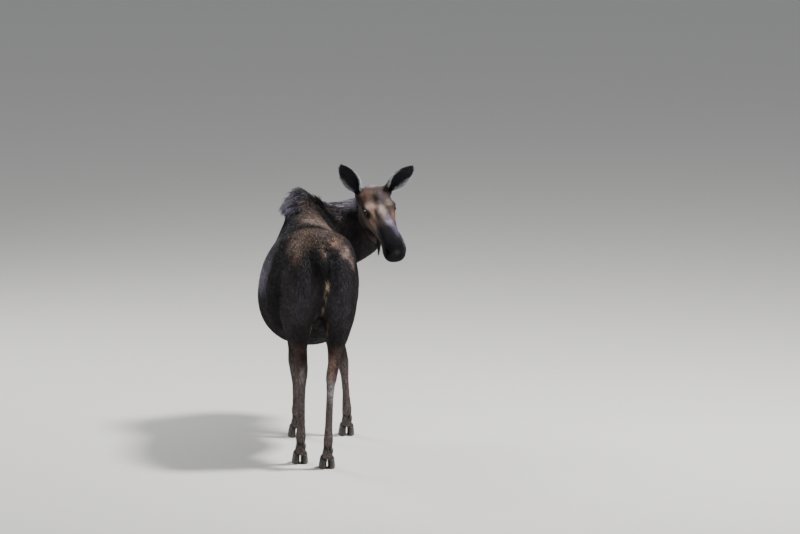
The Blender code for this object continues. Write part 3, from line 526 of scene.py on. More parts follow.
HEAD_PATCHES = (
    ((4,), (0.10, -0.055, 0.095), (0.075, 0.050, 0.050), "#7a5f50", 0.85),    # forehead
    ((4,), (0.10, 0.050, 0.100), (0.070, 0.050, 0.050), "#564845", 0.85),
    # Painted highlight on top of the poll.
    ((4,), (0.00, 0.000, 0.110), (0.030, 0.055, 0.030), "#b4a3aa", 1.00),     # poll
    ((4,), (0.132, 0.024, 0.110), (0.040, 0.020, 0.040), "#655c66", 0.90),
    ((4,), (0.132, -0.020, 0.110), (0.034, 0.018, 0.040), "#171315", 1.20),   # whorl
    ((4,), (0.196, -0.070, 0.090), (0.040, 0.036, 0.034), "#c5a899", 1.00),   # over the eyes
    ((4,), (0.250, -0.066, 0.075), (0.060, 0.022, 0.034), "#b09181", 1.00),
    ((4,), (0.180, 0.062, 0.095), (0.034, 0.030, 0.032), "#a28d82", 0.90),
    ((4,), (0.320, -0.080, 0.034), (0.085, 0.032, 0.046), "#a78b78", 1.00),   # cheeks
    ((4,), (0.400, -0.072, 0.010), (0.030, 0.030, 0.045), "#75645a", 0.85),
    ((4,), (0.24, -0.090, -0.045), (0.075, 0.045, 0.045), "#85705f", 0.90),
    ((4,), (0.30, 0.068, 0.062), (0.060, 0.026, 0.034), "#977660", 0.80),
    ((4,), (0.280, -0.047, 0.088), (0.062, 0.012, 0.030), "#1d1612", 1.20),   # beside the bridge
    # Painted highlight along the bridge of the nose, turning lilac towards the muzzle.
    ((4,), (0.26, 0.000, 0.100), (0.075, 0.030, 0.040), "#cbb6b0", 1.00),     # bridge
    ((4,), (0.37, 0.018, 0.090), (0.075, 0.034, 0.040), "#aba0b0", 1.00),
    ((4,), (0.47, 0.034, 0.080), (0.070, 0.032, 0.040), "#7c748a", 1.00),
    ((4,), (0.12, 0.100, -0.090), (0.12, 0.070, 0.080), "#2c2523", 0.90),     # jaws
    ((4,), (0.10, -0.110, -0.090), (0.12, 0.070, 0.080), "#241f1e", 0.95),
    ((4,), (0.34, -0.080, -0.120), (0.12, 0.060, 0.045), "#2a2422", 0.92),
    ((4, 9), (0.22, 0.000, -0.170), (0.34, 0.090, 0.065), "#151213", 1.00),   # under the jaw
    ((4,), (0.560, -0.040, -0.070), (0.165, 0.150, 0.120), "#0e0e13", 1.20),  # muzzle
    ((4,), (0.470, -0.095, 0.000), (0.070, 0.055, 0.060), "#17161c", 1.20),
    ((4,), (0.510, -0.048, 0.040), (0.130, 0.055, 0.075), "#15141a", 1.20),
    ((4,), (0.640, 0.000, 0.050), (0.085, 0.120, 0.080), "#101016", 1.20),
    # Painted lilac highlight along the edge of the muzzle.
    ((4,), (0.545, 0.070, 0.050), (0.085, 0.020, 0.045), "#6d6577", 0.95),
    # Painted shade in the hollows round the eyes.
    ((4,), (0.222, 0.114, 0.050), (0.044, 0.034, 0.036), "#1c1513", 1.00),    # round the eyes
    ((4,), (0.232, -0.114, 0.050), (0.048, 0.036, 0.034), "#140e0c", 1.20),
)
NOSE_PAD = ((0.638, 0.000, 0.006), (0.024, 0.027, 0.030))
EAR_INSIDE = "#36343a"
EAR_RIM = "#c6cacc"


def in_ears(points):
    """Places in the nearer ear's frame, and that ear's axes, for points in model coordinates."""
    frames = [ear_frame(side) for side, _ in SIDES]
    places = [local(points, f) for f in frames]
    first = np.linalg.norm(places[0], axis=1) < np.linalg.norm(places[1], axis=1)
    axes = [np.array(f.to_3x3()) for f in frames]
    near = np.where(first[:, None], places[0], places[1])
    turn = np.where(first[:, None, None], axes[0][None], axes[1][None])
    return near, turn


def round_ear(place):
    """Share of the ear's height, share of the way from its back to its rim, and the way out."""
    share = np.clip(place[:, 2] / EAR_LENGTH, 0.0, 1.0)
    swell = np.minimum(1.0, share / EAR_WIDEST)
    taper = np.clip((share - EAR_WIDEST) / (1.0 - EAR_WIDEST), 0.0, 1.0)
    widening = (EAR_HALF_WIDTH - EAR_ROOT_HALF_WIDTH) * swell ** 2 * (3 - 2 * swell)
    half_width = (EAR_ROOT_HALF_WIDTH + widening) * (1 - taper ** 2.2) ** 0.8 + 0.0035 * taper
    root, widest, tip = EAR_CURL
    curl = root + (widest - root) * swell + (tip - widest) * taper
    radius = half_width / np.sin(np.minimum(curl, math.pi / 2))
    middle = radius - EAR_SETBACK + EAR_TIP_BEND * share ** 2
    turn = np.arctan2(place[:, 1], middle - place[:, 0])
    out = np.column_stack([-np.cos(turn), np.sin(turn), np.zeros(len(turn))])
    return share, np.abs(turn) / curl, out


def ear_marking(place, normals, colours):
    """Colours of an ear: dark in its hollow, with pale hair along its rim."""
    share, rim, out = round_ear(place)
    inside = ramp(-np.einsum("ij,ij->i", normals, out), -0.1, 0.4)[:, None]
    shade = colours * (1 - inside) + np.array(hex_colour(EAR_INSIDE)) * inside
    edge = ramp(rim, 0.50 + 0.36 * ramp(share, 0.30, 0.75), 0.92 + 0.06 * share)
    pale = (edge * ramp(share, 0.02, 0.12) * (1 - 0.35 * ramp(share, 0.55, 0.9)))[:, None] * 0.9
    return shade * (1 - pale) + np.array(hex_colour(EAR_RIM)) * pale


def colour_and_painted_light(points, normals, region):
    """Colour, with the painted light and shade of the patches, and wetness of skin and coat at
    places in model coordinates.
    """
    colours = np.array([hex_colour(BASE[BASE_OF[i]]) for i in range(len(REGIONS))])[region]
    head = local(points, head_frame())
    colours = legs_and_head_blend(points, head, region, colours)
    speckle = np.clip(0.86 + 0.50 * value_noise(points, 0.013, 7)
                      + 0.30 * value_noise(points, 0.032, 8), 0.0, 1.0)
    ragged = 0.020 * wander(points, 0.060) + 0.009 * wander(points, 0.020)
    tables = ((BODY_PATCHES, points + ragged * (0.5, 1.0, 1.0), speckle),
              (FINE_PATCHES, points + 0.25 * ragged, speckle),
              (HEAD_PATCHES, head + 0.40 * ragged, np.sqrt(speckle)))
    for table, places, grain in tables:
        for regions, centre, radii, colour, strength in table:
            mask = np.minimum(grain * strength, 1.0) * blob(places, centre, radii, 1.7)
            mask = mask * np.isin(region, regions)
            colours += mask[:, None] * (np.array(hex_colour(colour)) - colours)
    ears = region == EAR
    place, turn = in_ears(points[ears])
    colours[ears] = ear_marking(place, np.einsum("ij,ijk->ik", normals[ears], turn), colours[ears])
    mottle = 1 + 0.18 * value_noise(points, 0.060, 3) + 0.20 * value_noise(points, 0.022, 5)
    wet = np.zeros(len(points))
    is_head = region == HEAD
    wet[is_head] = np.clip(1.6 * blob(head[is_head], *NOSE_PAD), 0, 1)
    return np.column_stack([colours * mottle[:, None], wet])


def wander(points, size):
    """Smooth noise for each of the three directions."""
    return np.column_stack([value_noise(points, size, seed) for seed in (21, 22, 23)])


def legs_and_head_blend(points, head, region, colours):
    """Lets the colours of neighbouring regions run into each other."""
    def mix(mask, colour):
        return colours + mask[:, None] * (np.array(hex_colour(colour)) - colours)

    legs = np.isin(region, (UPPER, LOWER))
    hock = np.where(points[:, 1] > -0.8, 0.10, 0.0)
    colours = mix(legs * (1 - ramp(points[:, 2] - hock, 0.46, 0.68)), BASE["cannon"])
    at_head = region == HEAD
    colours = mix(at_head * ramp(head[:, 0], 0.33, 0.46) * 0.9, BASE["muzzle"])
    behind = at_head * (1 - ramp(head[:, 0], -0.06, 0.07))
    return mix(behind * 0.8, BASE["neck"])


# ---------------------------------------------------------------------------------------
# The skin

def region_codes(names):
    """Region number of each name in a list of node names."""
    of_node = {node: code for code, row in enumerate(REGIONS) for node in row.nodes}
    return np.array([of_node[name] for name in names])


def nearest_regions(points, nodes):
    """Region of each point, taken from the nearest solid's surface."""
    corners = []
    faces = []
    owners = []
    start = 0
    for node in nodes:
        mesh = bpy.data.objects[node].data
        corners.append(points_of(mesh))
        triangles = triangles_of(mesh) + start
        faces.append(triangles)
        owners += [node] * len(triangles)
        start += len(mesh.vertices)
    tree = BVHTree.FromPolygons(np.vstack(corners).tolist(), np.vstack(faces).tolist())
    codes = region_codes(owners)
    found = np.array([tree.find_nearest(p)[2] for p in points.tolist()])
    return codes[found]


def edge_mean(mesh, values, passes):
    """Values of the vertices, averaged with their neighbours a number of times."""
    edges = np.empty(len(mesh.edges) * 2, np.int32)
    mesh.edges.foreach_get("vertices", edges)
    a, b = edges.reshape(-1, 2).T
    n = len(values)
    count = np.bincount(a, minlength=n) + np.bincount(b, minlength=n)
    for _ in range(passes):
        total = np.bincount(a, values[b], n) + np.bincount(b, values[a], n)
        values = 0.5 * values + 0.5 * total / np.maximum(count, 1)
    return values


def eye_axes(mirror):
    """An eye's gaze, its long way and its upright, in the head's frame."""
    gaze = Vector((0.34, mirror * 0.92, 0.14)).normalized()
    long_way = Vector((1.0, 0.0, -0.12))
    long_way = (long_way - gaze * long_way.dot(gaze)).normalized()
    upright = long_way.cross(gaze) * mirror
    return gaze, long_way, -upright if upright.z < 0 else upright


EYEBALL_RADIUS = 0.0190
EYEBALL_INSET = 0.0080
LID_OPENING = (0.0170, 0.0108)
LID_THICKNESS = 0.0028
LID_REACH = 0.060            # how far from the eyeball's middle the skin is moved
LID_EDGE = 0.86              # where the lid's edge begins, as a share of the opening
LID_EDGE_WIDTH = 0.14
LID_FADE = (1.3, 3.0)        # where the lid runs out into the face
EYE_SINK = 0.0035            # how far the skin lies under the eyeball's front


def eyeball_centre(mirror):
    """Middle of the eyeball in the head's frame."""
    gaze = eye_axes(mirror)[0]
    place = Vector((EYE_PLACE[0], mirror * EYE_PLACE[1], EYE_PLACE[2]))
    return place - gaze * EYEBALL_INSET


def sculpt_lids(head, mirror):
    """Opens the skin over an eyeball and draws lids round the opening."""
    gaze, long_way, upright = (np.array(axis) for axis in eye_axes(mirror))
    centre = np.array(eyeball_centre(mirror))
    q = head - centre
    reach = np.linalg.norm(q, axis=1)
    near = (reach < LID_REACH) & (q @ gaze > 0.0)
    q, reach = q[near], reach[near]
    u = q @ long_way
    v = q @ upright
    lid = np.sqrt((u / LID_OPENING[0]) ** 2 + (v / LID_OPENING[1]) ** 2)
    rim = EYEBALL_RADIUS + LID_THICKNESS
    proud = np.maximum(reach, rim)
    crease = 0.0022 * np.exp(-((lid - 1.95) / 0.22) ** 2) * ramp(v, 0.0, 0.006)
    covered = proud * (1 - ramp(lid, *LID_FADE)) + reach * ramp(lid, *LID_FADE) - crease
    open_ = EYEBALL_RADIUS - EYE_SINK
    target = np.where(lid < 1.0, open_, covered)
    edge = (lid >= LID_EDGE) & (lid < 1.0)
    target[edge] = open_ + (rim - open_) * ((lid[edge] - LID_EDGE) / LID_EDGE_WIDTH) ** 2
    head[near] = centre + q / reach[:, None] * target[:, None]
    return head


# Strokes on the body: centre and radii in model coordinates, and how far the skin is drawn out
# (or in, where negative).
BODY_STROKES = (
    ((0.300, -0.640, 1.200), (0.090, 0.110, 0.300), -0.026),     # hollows before the thighs
    ((-0.270, -0.640, 1.200), (0.090, 0.110, 0.300), -0.026),
    ((0.250, -0.340, 1.120), (0.080, 0.150, 0.260), 0.008),      # thighs
    ((-0.220, -0.320, 1.120), (0.080, 0.150, 0.260), 0.008),
    ((0.006, -0.200, 0.960), (0.036, 0.160, 0.130), -0.045),     # between the thighs
    ((0.070, -0.080, 1.380), (0.020, 0.110, 0.120), -0.012),     # beside the tail
    ((-0.085, -0.080, 1.380), (0.020, 0.110, 0.120), -0.012),
    ((0.200, -0.560, 1.540), (0.050, 0.060, 0.050), 0.008),      # points of the hips
    ((-0.190, -0.520, 1.540), (0.050, 0.060, 0.050), 0.008),
    ((0.250, -1.270, 1.180), (0.100, 0.100, 0.260), 0.008),      # shoulders
    ((-0.250, -1.270, 1.180), (0.100, 0.100, 0.260), 0.008),
    ((0.280, -1.080, 1.120), (0.090, 0.060, 0.240), -0.020),     # behind the shoulders
    ((-0.280, -1.080, 1.120), (0.090, 0.060, 0.240), -0.020),
    ((0.200, -1.210, 0.900), (0.060, 0.060, 0.060), 0.008),      # elbows
    ((-0.200, -1.210, 0.900), (0.060, 0.060, 0.060), 0.008),
)

# Strokes on the head: centre and radii in the head's frame, and how far the skin is drawn out
# (or in, where negative). Each is made on both sides.
STROKES = (
    ((0.262, 0.092, 0.010), (0.032, 0.020, 0.012), -0.0050),     # gland in front of the eye
    ((0.190, 0.110, 0.078), (0.040, 0.024, 0.012), 0.0030),      # brow
    ((0.330, 0.070, -0.030), (0.090, 0.030, 0.030), -0.0050),    # hollow of the cheek
    ((0.300, 0.060, -0.010), (0.140, 0.030, 0.010), 0.0025),     # facial crest
    ((0.490, 0.074, 0.030), (0.070, 0.030, 0.030), 0.0020),      # nostril's roof
    ((0.532, 0.072, -0.066), (0.050, 0.030, 0.018), 0.0040),     # upper lip
    ((0.110, 0.080, -0.050), (0.070, 0.040, 0.060), 0.0040),     # jaw muscle
    ((0.205, 0.075, -0.115), (0.060, 0.030, 0.018), -0.0040),    # jaw's edge
    ((0.525, 0.030, -0.140), (0.040, 0.040, 0.020), 0.0030),     # chin
)
NOSTRIL = ((0.608, 0.066, 0.004), (0.022, 0.020, 0.0125))
NOSTRIL_TILT = math.radians(-32)
MOUTH_HEIGHT = -0.088
MOUTH_BACK = 0.390


def sculpt_head(points, normals):
    """Draws the features of the face into the skin."""
    frame_ = head_frame()
    turn = np.array(frame_.to_3x3())
    head = local(points, frame_)
    outward = normals @ turn
    for centre, radii, amount in STROKES:
        for _, mirror in SIDES:
            place = (centre[0], mirror * centre[1], centre[2])
            head = head + outward * (amount * blob(head, place, radii))[:, None]
    centre, radii = NOSTRIL
    for _, mirror in SIDES:
        q = head - np.array((centre[0], mirror * centre[1], centre[2]))
        c, s = math.cos(NOSTRIL_TILT), math.sin(NOSTRIL_TILT)
        along = (q[:, 0] * c + q[:, 2] * s) / radii[0]
        up = (-q[:, 0] * s + q[:, 2] * c) / (radii[2] * (1.0 + 0.35 * along))
        rho = np.sqrt(along ** 2 + up ** 2)
        beside = np.abs(q[:, 1]) < 0.035
        dent = -0.016 * np.clip(1 - rho ** 2, 0, 1) ** 1.2
        rim = 0.0028 * np.exp(-((rho - 1.25) / 0.30) ** 2)
        head = head + outward * ((dent + rim) * beside)[:, None]
    along, up = head[:, 0], head[:, 2]
    on_lips = ramp(along, MOUTH_BACK - 0.02, MOUTH_BACK + 0.03)
    line = MOUTH_HEIGHT - 0.010 * ramp(along, 0.49, 0.60)
    groove = np.exp(-((up - line) / 0.0045) ** 2) * on_lips
    below = ramp(line - up, 0.0, 0.010) * on_lips
    head = head - outward * (0.0060 * groove + 0.0025 * below)[:, None]
    for _, mirror in SIDES:
        head = sculpt_lids(head, mirror)
    return head @ turn.T + np.array(frame_.translation)


def refine_face(obj):
    """Cuts the faces round the eyes, nostrils and mouth finer."""
    shape = bmesh.new()
    shape.from_mesh(obj.data)
    for cuts, reach_eye, reach_nose in ((1, 0.042, 0.038), (1, 0.027, 0.0)):
        co = np.array([v.co for v in shape.verts]) - SHIFT
        head = local(co, head_frame())
        near = np.zeros(len(head), bool)
        for _, mirror in SIDES:
            eye = np.array(eyeball_centre(mirror))
            near |= np.linalg.norm(head - eye, axis=1) < reach_eye
            nose = np.array((NOSTRIL[0][0], mirror * NOSTRIL[0][1], NOSTRIL[0][2]))
            near |= np.linalg.norm(head - nose, axis=1) < reach_nose
        if reach_nose:
            near |= (np.abs(head[:, 2] - MOUTH_HEIGHT) < 0.013) & (head[:, 0] > MOUTH_BACK) \
                & (head[:, 0] < 0.70) & (np.abs(head[:, 1]) < 0.12)
        shape.verts.ensure_lookup_table()
        wanted = {v for v, flag in zip(shape.verts, near) if flag}
        edges = [e for e in shape.edges if e.verts[0] in wanted and e.verts[1] in wanted]
        bmesh.ops.subdivide_edges(shape, edges=edges, cuts=cuts, use_grid_fill=True)
    bmesh.ops.triangulate(shape, faces=[f for f in shape.faces if len(f.verts) > 4])
    shape.to_mesh(obj.data)
    shape.free()


def flesh_nodes():
    """Names of the solids that the skin is drawn over."""
    return [node for row in REGIONS for node in row.nodes]


def thin(obj, chosen, kept):
    """Makes the chosen faces larger, so that a share of them is kept."""
    only(obj)
    obj.data.polygons.foreach_set("select", chosen)
    obj.data.update()
    bpy.ops.object.mode_set(mode="EDIT")
    bpy.ops.mesh.select_mode(type="FACE")
    bpy.ops.mesh.decimate(ratio=kept)
    bpy.ops.object.mode_set(mode="OBJECT")


def thin_skin(obj, region):
    """Makes the skin's faces larger where the shape is plain."""
    quads = np.empty(len(obj.data.polygons) * 4, np.int32)
    obj.data.polygons.foreach_get("vertices", quads)
    quads = quads.reshape(-1, 4)
    head = local(points_of(obj.data)[quads].mean(axis=1) - SHIFT, head_frame())
    fine = np.isin(region[quads], (HEAD, EAR)).any(axis=1)
    plain = fine & (np.isin(region[quads], (EAR,)).any(axis=1) | (head[:, 0] < 0.12))
    marks = obj.data.attributes.new("plain", "BOOLEAN", "FACE")
    marks.data.foreach_set("value", plain)
    thin(obj, ~fine, SKIN_BODY_KEPT)
    plain = np.empty(len(obj.data.polygons), bool)
    obj.data.attributes["plain"].data.foreach_get("value", plain)
    thin(obj, plain, SKIN_HEAD_KEPT)
    obj.data.attributes.remove(obj.data.attributes["plain"])


def mane_mask(points):
    """Where long locks stand, from 0 to 1."""
    return np.clip(sum(blob(points, centre, radii) for centre, radii in MANE), 0, 1)


def make_skin():
    """One closed skin over all the solids of flesh, inside them by the coat's depth."""
    nodes = flesh_nodes()
    skin = copy_of_nodes("skin", nodes, OVERLAP)
    apply_modifier(skin, "REMESH", mode="VOXEL", voxel_size=SKIN_GRAIN)
    region = nearest_regions(points_of(skin.data), nodes)
    ease = edge_mean(skin.data, np.array([row.ease for row in REGIONS])[region],
                     SKIN_EASE_PASSES)
    group = skin.vertex_groups.new(name="ease")
    levels = np.round(ease * 100).astype(int)
    for level in np.unique(levels):
        group.add(np.nonzero(levels == level)[0].tolist(), level / 100, "REPLACE")
    apply_modifier(skin, "SMOOTH", factor=0.5, iterations=SKIN_PASSES, vertex_group="ease")
    skin.vertex_groups.clear()
    co = points_of(skin.data)
    depth = np.array([row.depth for row in REGIONS])[region]
    depth = depth + MANE_DEPTH * mane_mask(co - SHIFT) * np.isin(region, (1, 2, 3))
    depth = edge_mean(skin.data, depth, SKIN_EASE_PASSES)
    move_to(skin.data, co - normals_of(skin.data) * depth[:, None])
    thin_skin(skin, region)
    refine_face(skin)
    co = points_of(skin.data) - SHIFT
    region = nearest_regions(co + SHIFT, nodes)
    on_body = np.isin(region, TRUNK)
    normals = normals_of(skin.data)[on_body]
    for centre, radii, amount in BODY_STROKES:
        co[on_body] += normals * (amount * blob(co[on_body], centre, radii))[:, None]
    head = region == HEAD
    shaped = sculpt_head(co[head], normals_of(skin.data)[head])
    co[head] = shaped
    move_to(skin.data, co + SHIFT)
    normals = normals_of(skin.data)
    # The skin takes the coat's colours with their painted light, darkened by the painted shade
    # under the hair.
    paint(skin.data, "colour_and_painted_light", colour_and_painted_light(co, normals, region) * (*[SKIN_SHADE_UNDER_HAIR] * 3, 1.0))
    layer = skin.data.attributes.new("region", "INT", "POINT")
    layer.data.foreach_set("value", region.astype(np.int32))
    skin.data.materials.append(hide_material())
    skin.data.shade_smooth()
    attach(skin, "root")
    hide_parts(*nodes)
    return skin


# ---------------------------------------------------------------------------------------
# The coat

def neck_lie(points):
    """The way from the head to the chest along the neck, at each point."""
    middles = (NECK_LINE[1:] + NECK_LINE[:-1]) / 2
    ways = unit(NECK_LINE[:-1] - NECK_LINE[1:])
    gaps = np.linalg.norm(points[:, None] - middles[None], axis=2)
    share = np.exp(-(gaps / 0.12) ** 2) + 1e-6
    return unit(share @ ways)


WHORL = np.array((0.128, -0.018, 0.107))      # where the hair of the forehead parts
WHORL_REACH = 0.018                           # over which it turns about the parting
PARTING_REACH = 0.12                          # over which hair turns off the middle line


def lie_of_coat(points, normals, region):
    """The way the hair lies at each point, in the skin's plane."""
    side = np.clip(points[:, :1] / PARTING_REACH, -1.0, 1.0)
    flow = np.tile((0.0, 1.0, -0.42), (len(points), 1))
    low = ramp(-points[:, 2:], -1.30, -0.95)
    flow = flow * (1 - 0.75 * low) + low * np.array((0.0, 0.25, -0.75))
    belly = ramp(-normals[:, 2:], 0.35, 0.85)
    flow = flow * (1 - belly) + belly * np.array((0.0, 1.0, 0.0))
    rear = ramp(normals[:, 1:2], 0.25, 0.75)
    flow = flow * (1 - rear) + rear * (np.array((0.0, 0.0, -1.0)) + side * (0.18, 0.0, 0.0))
    top = ramp(normals[:, 2:], 0.55, 0.95)
    flow = flow * (1 - top) + top * (np.array((0.0, 1.0, -0.1)) + side * (0.30, 0.0, 0.0))
    neck = region == NECK
    flow[neck] = neck_lie(points[neck]) + np.array((0.0, 0.0, -0.45))
    crest = (np.isin(region, TRUNK) * ramp(mane_mask(points), 0.10, 0.50))[:, None]
    flow = flow * (1 - crest) + crest * np.array(MANE_WAY)
    turn = np.array(head_frame().to_3x3())
    at_head = region == HEAD
    head = local(points[at_head], head_frame())
    over = ramp(head[:, 2:], 0.02, 0.08)
    spread = (head - WHORL) * (1.0, 1.0, 0.0)
    turned = np.column_stack([-spread[:, 1], spread[:, 0], 0 * spread[:, 0]])
    swirl = 1.6 * np.exp(-np.linalg.norm(spread, axis=1, keepdims=True) / WHORL_REACH)
    whorl = unit(spread) + swirl * unit(turned)
    face = over * whorl + (1 - over) * np.array((-0.75, 0.0, -0.65))
    face = face + 4 * over * (1 - over) * np.array((0.0, 0.0, -0.7))
    flow[at_head] = face @ turn.T
    ears = region == EAR
    place, axes = in_ears(points[ears])
    flow[ears] = axes[:, :, 2] + 0.35 * np.sign(place[:, 1:2]) * axes[:, :, 1]
    flow[np.isin(region, (UPPER, LOWER, TAIL, BELL))] = (0.0, 0.12, -1.0)
    flow = flow + 1e-4
    return unit(flow - normals * np.einsum("ij,ij->i", flow, normals)[:, None])


def skin_surface():
    """The finished skin's arrays, and a tree that finds its nearest point."""
    mesh = bpy.data.objects["skin"].data
    points = points_of(mesh)
    triangles = triangles_of(mesh)
    region = np.empty(len(points), np.int32)
    mesh.attributes["region"].data.foreach_get("value", region)
    tree = BVHTree.FromPolygons(points.tolist(), triangles.tolist())
    return points, normals_of(mesh), triangles, region, tree


def unwrapped(points, triangles):
    """Corners in the unit square of the given triangles, unwrapped as their surface lies."""
    used, compact = np.unique(triangles, return_inverse=True)
    sheet = mesh_from("unwrap", points[used], compact.reshape(-1, 3))
    only(sheet)
    bpy.ops.object.mode_set(mode="EDIT")
    bpy.ops.mesh.select_all(action="SELECT")
    bpy.ops.uv.smart_project(angle_limit=math.radians(66), island_margin=0.004)
    bpy.ops.object.mode_set(mode="OBJECT")
    corners = np.empty(len(sheet.data.loops) * 2, np.float32)
    sheet.data.uv_layers.active.data.foreach_get("uv", corners)
    mesh = sheet.data
    bpy.data.objects.remove(sheet)
    bpy.data.meshes.remove(mesh)
    return corners.reshape(-1, 3, 2)


def settle(tree, points, fallback):
    """Nearest points of the skin and their normals."""
    places = np.empty_like(points)
    normals = np.empty_like(points)
    for i, p in enumerate(points.tolist()):
        place, normal, *_ = tree.find_nearest(p)
        places[i] = place
        normals[i] = normal
    lost = np.einsum("ij,ij->i", normals, fallback) < 0.2
    normals[lost] = fallback[lost]
    places[lost] = points[lost]
    return places, normals


# The corners of a lock's patch on the unwrap, for its root, left, ridge, right and tip.
LOCK_PATCH = np.array([(0.0, -0.0015), (-0.0014, 0.0), (0.0, 0.0002), (0.0014, 0.0),
                       (0.0, 0.0015)])
LOCK_FACES = np.array([(1, 2, 4), (2, 3, 4), (3, 1, 4), (2, 1, 0), (3, 2, 0), (1, 3, 0)])
LOCK_SHADE = np.array([0.62, 0.96, 1.06, 0.96, 1.18])
LOCK_RIDGE = 0.24            # height of a lock's ridge over its sides, against its width
LOCK_WAIST = 0.42            # where a lock is widest, as a share of its length
LOCK_ROOT = 0.0015           # how far under the skin a lock starts
PATCH_MARGIN = 0.002         # how near a lock's patch may come to the edge of its map


def scatter(rng, points, normals, triangles, corners, density):
    """Roots on triangles at so many a square metre: place, normal, triangle and patch."""
    a, b, c = (points[triangles[:, k]] for k in range(3))
    area = 0.5 * np.linalg.norm(np.cross(b - a, c - a), axis=1) * density
    steps = np.cumsum(area)
    count = int(steps[-1])
    picks = (np.arange(count) + rng.random(count)) * steps[-1] / count
    face = np.minimum(np.searchsorted(steps, picks), len(triangles) - 1)
    u, v = rng.random(count), rng.random(count)
    flip = u + v > 1
    u[flip], v[flip] = 1 - u[flip], 1 - v[flip]
    share = np.column_stack([1 - u - v, u, v])
    place = np.einsum("ij,ijk->ik", share, points[triangles[face]])
    normal = unit(np.einsum("ij,ijk->ik", share, normals[triangles[face]]))
    patch = np.einsum("ij,ijk->ik", share, corners[face])
    return place, normal, face, np.clip(patch, PATCH_MARGIN, 1 - PATCH_MARGIN)


CLUMP_SIZE = 0.030           # how far hair turns the same way
CLUMP_TURN = 0.38            # and by how much, in radians
CLUMP_SEED = 9


def strayed(rng, flow, normals, angle, turned):
    """Directions turned by an angle, and a little at random, in the skin's plane."""
    turn = rng.normal(0.0, 1.0, len(flow)) * angle + turned
    across = np.cross(normals, flow)
    return flow * np.cos(turn)[:, None] + across * np.sin(turn)[:, None]


def finish_coat(name, points, faces, colours, patch):
    """Makes a coat piece of its arrays, with its colours and its map."""
    coat = mesh_from(name, points, faces)
    # The coat's colours hold painted light and shade as well as the hair's own colours.
    paint(coat.data, "colour_and_painted_light", colours)
    layer = coat.data.uv_layers.new(name="OFBake")
    layer.data.foreach_set("uv", patch[faces.ravel()].astype(np.float32).ravel())
    coat.data.materials.append(hair_material_once())
    coat.data.shade_smooth()
    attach(coat, "root")
    return coat


def hair_material_once():
    """The coat's one material."""
    return bpy.data.materials.get("guard_hair") or hair_material()


def short_locks(name, surface, regions, keep, seed, share):
    """A piece of the coat: one flat leaf-shaped lock to each root."""
    points, normals, triangles, region, tree = surface
    rng = np.random.default_rng(seed)
    middle = points[triangles].mean(axis=1) - SHIFT
    own = np.isin(region[triangles[:, 0]], regions) & keep(middle)
    triangles = triangles[own]
    corners = unwrapped(points, triangles)
    codes = region[triangles[:, 0]]
    spacing = np.array([row.spacing for row in REGIONS])[codes]
    place, normal, face, patch = scatter(rng, points, normals, triangles, corners,
                                         share / spacing ** 2)
    haired = face_trim(place - SHIFT, codes[face]) > BARE_TRIM
    place, normal, face, patch = place[haired], normal[haired], face[haired], patch[haired]
    code = codes[face]
    column = {key: np.array([getattr(row, key) for row in REGIONS])[code]
              for key in ("length", "width", "rise", "tip", "stray", "tone")}
    flow = lie_of_coat(place - SHIFT, normal, code)
    flow = strayed(rng, flow, normal, column["stray"],
                   CLUMP_TURN * value_noise(place, CLUMP_SIZE, CLUMP_SEED))
    count = len(place)
    trim = face_trim(place - SHIFT, code)
    length = column["length"] * rng.uniform(0.7, 1.3, count) * trim
    width = column["width"] * rng.uniform(0.7, 1.25, count) * np.sqrt(length / column["length"])
    waist, waist_normal = settle(tree, place + flow * (length * LOCK_WAIST)[:, None], normal)
    tip, tip_normal = settle(tree, place + flow * length[:, None], waist_normal)
    rise = column["rise"] * rng.uniform(0.6, 1.4, count) * trim
    lift = column["tip"] * rng.uniform(0.3, 1.7, count) * trim
    across = unit(np.cross(waist_normal, flow)) * (width / 2)[:, None]
    base = waist + waist_normal * rise[:, None]
    ridge = base + waist_normal * (width * LOCK_RIDGE)[:, None]
    corners5 = np.stack([place - normal * LOCK_ROOT, base + across, ridge, base - across,
                         tip + tip_normal * lift[:, None]], axis=1)
    colour = colour_and_painted_light(place - SHIFT, normal, code)
    tone = np.exp(rng.normal(0.0, 1.0, count) * column["tone"])
    colours = shaded(rng, colour, tone, LOCK_SHADE)
    faces = (LOCK_FACES[None] + 5 * np.arange(count)[:, None, None]).reshape(-1, 3)
    patches = (patch[:, None] + LOCK_PATCH[None]).reshape(-1, 2)
    return finish_coat(name, corners5.reshape(-1, 3), faces, colours, patches)


def shaded(rng, colour, tone, shade):
    """Colours of the locks' corners: each lock has its tone, darker at its root."""
    warm = rng.normal(0.0, 0.03, len(colour))[:, None] * np.array((1.0, 0.0, -1.0))
    rgb = colour[:, :3] * tone[:, None] * (1 + warm)
    rgb = np.clip(rgb[:, None] * shade[None, :, None], 0.0, 1.0)
    wet = np.repeat(colour[:, None, 3:], len(shade), axis=1)
    return np.concatenate([rgb, wet], axis=2).reshape(-1, 4)


BARE_TRIM = 0.30             # where locks would be shorter than this share, none grow


def face_trim(points, code):
    """How much shorter the locks are on the muzzle and round the eyes."""
    trim = np.ones(len(points))
    at_head = code == HEAD
    head = local(points[at_head], head_frame())
    bare = blob(head, *NOSE_PAD)
    for _, mirror in SIDES:
        bare = bare + blob(head, tuple(eyeball_centre(mirror)), (0.030, 0.030, 0.024))
        nose = (NOSTRIL[0][0], mirror * NOSTRIL[0][1], NOSTRIL[0][2])
        bare = bare + blob(head, nose, (0.026, 0.026, 0.022))
    muzzle = ramp(head[:, 0], 0.42, 0.56)
    trim[at_head] = (1 - 0.20 * muzzle) * np.clip(1 - 0.85 * bare, 0.15, 1)
    return trim


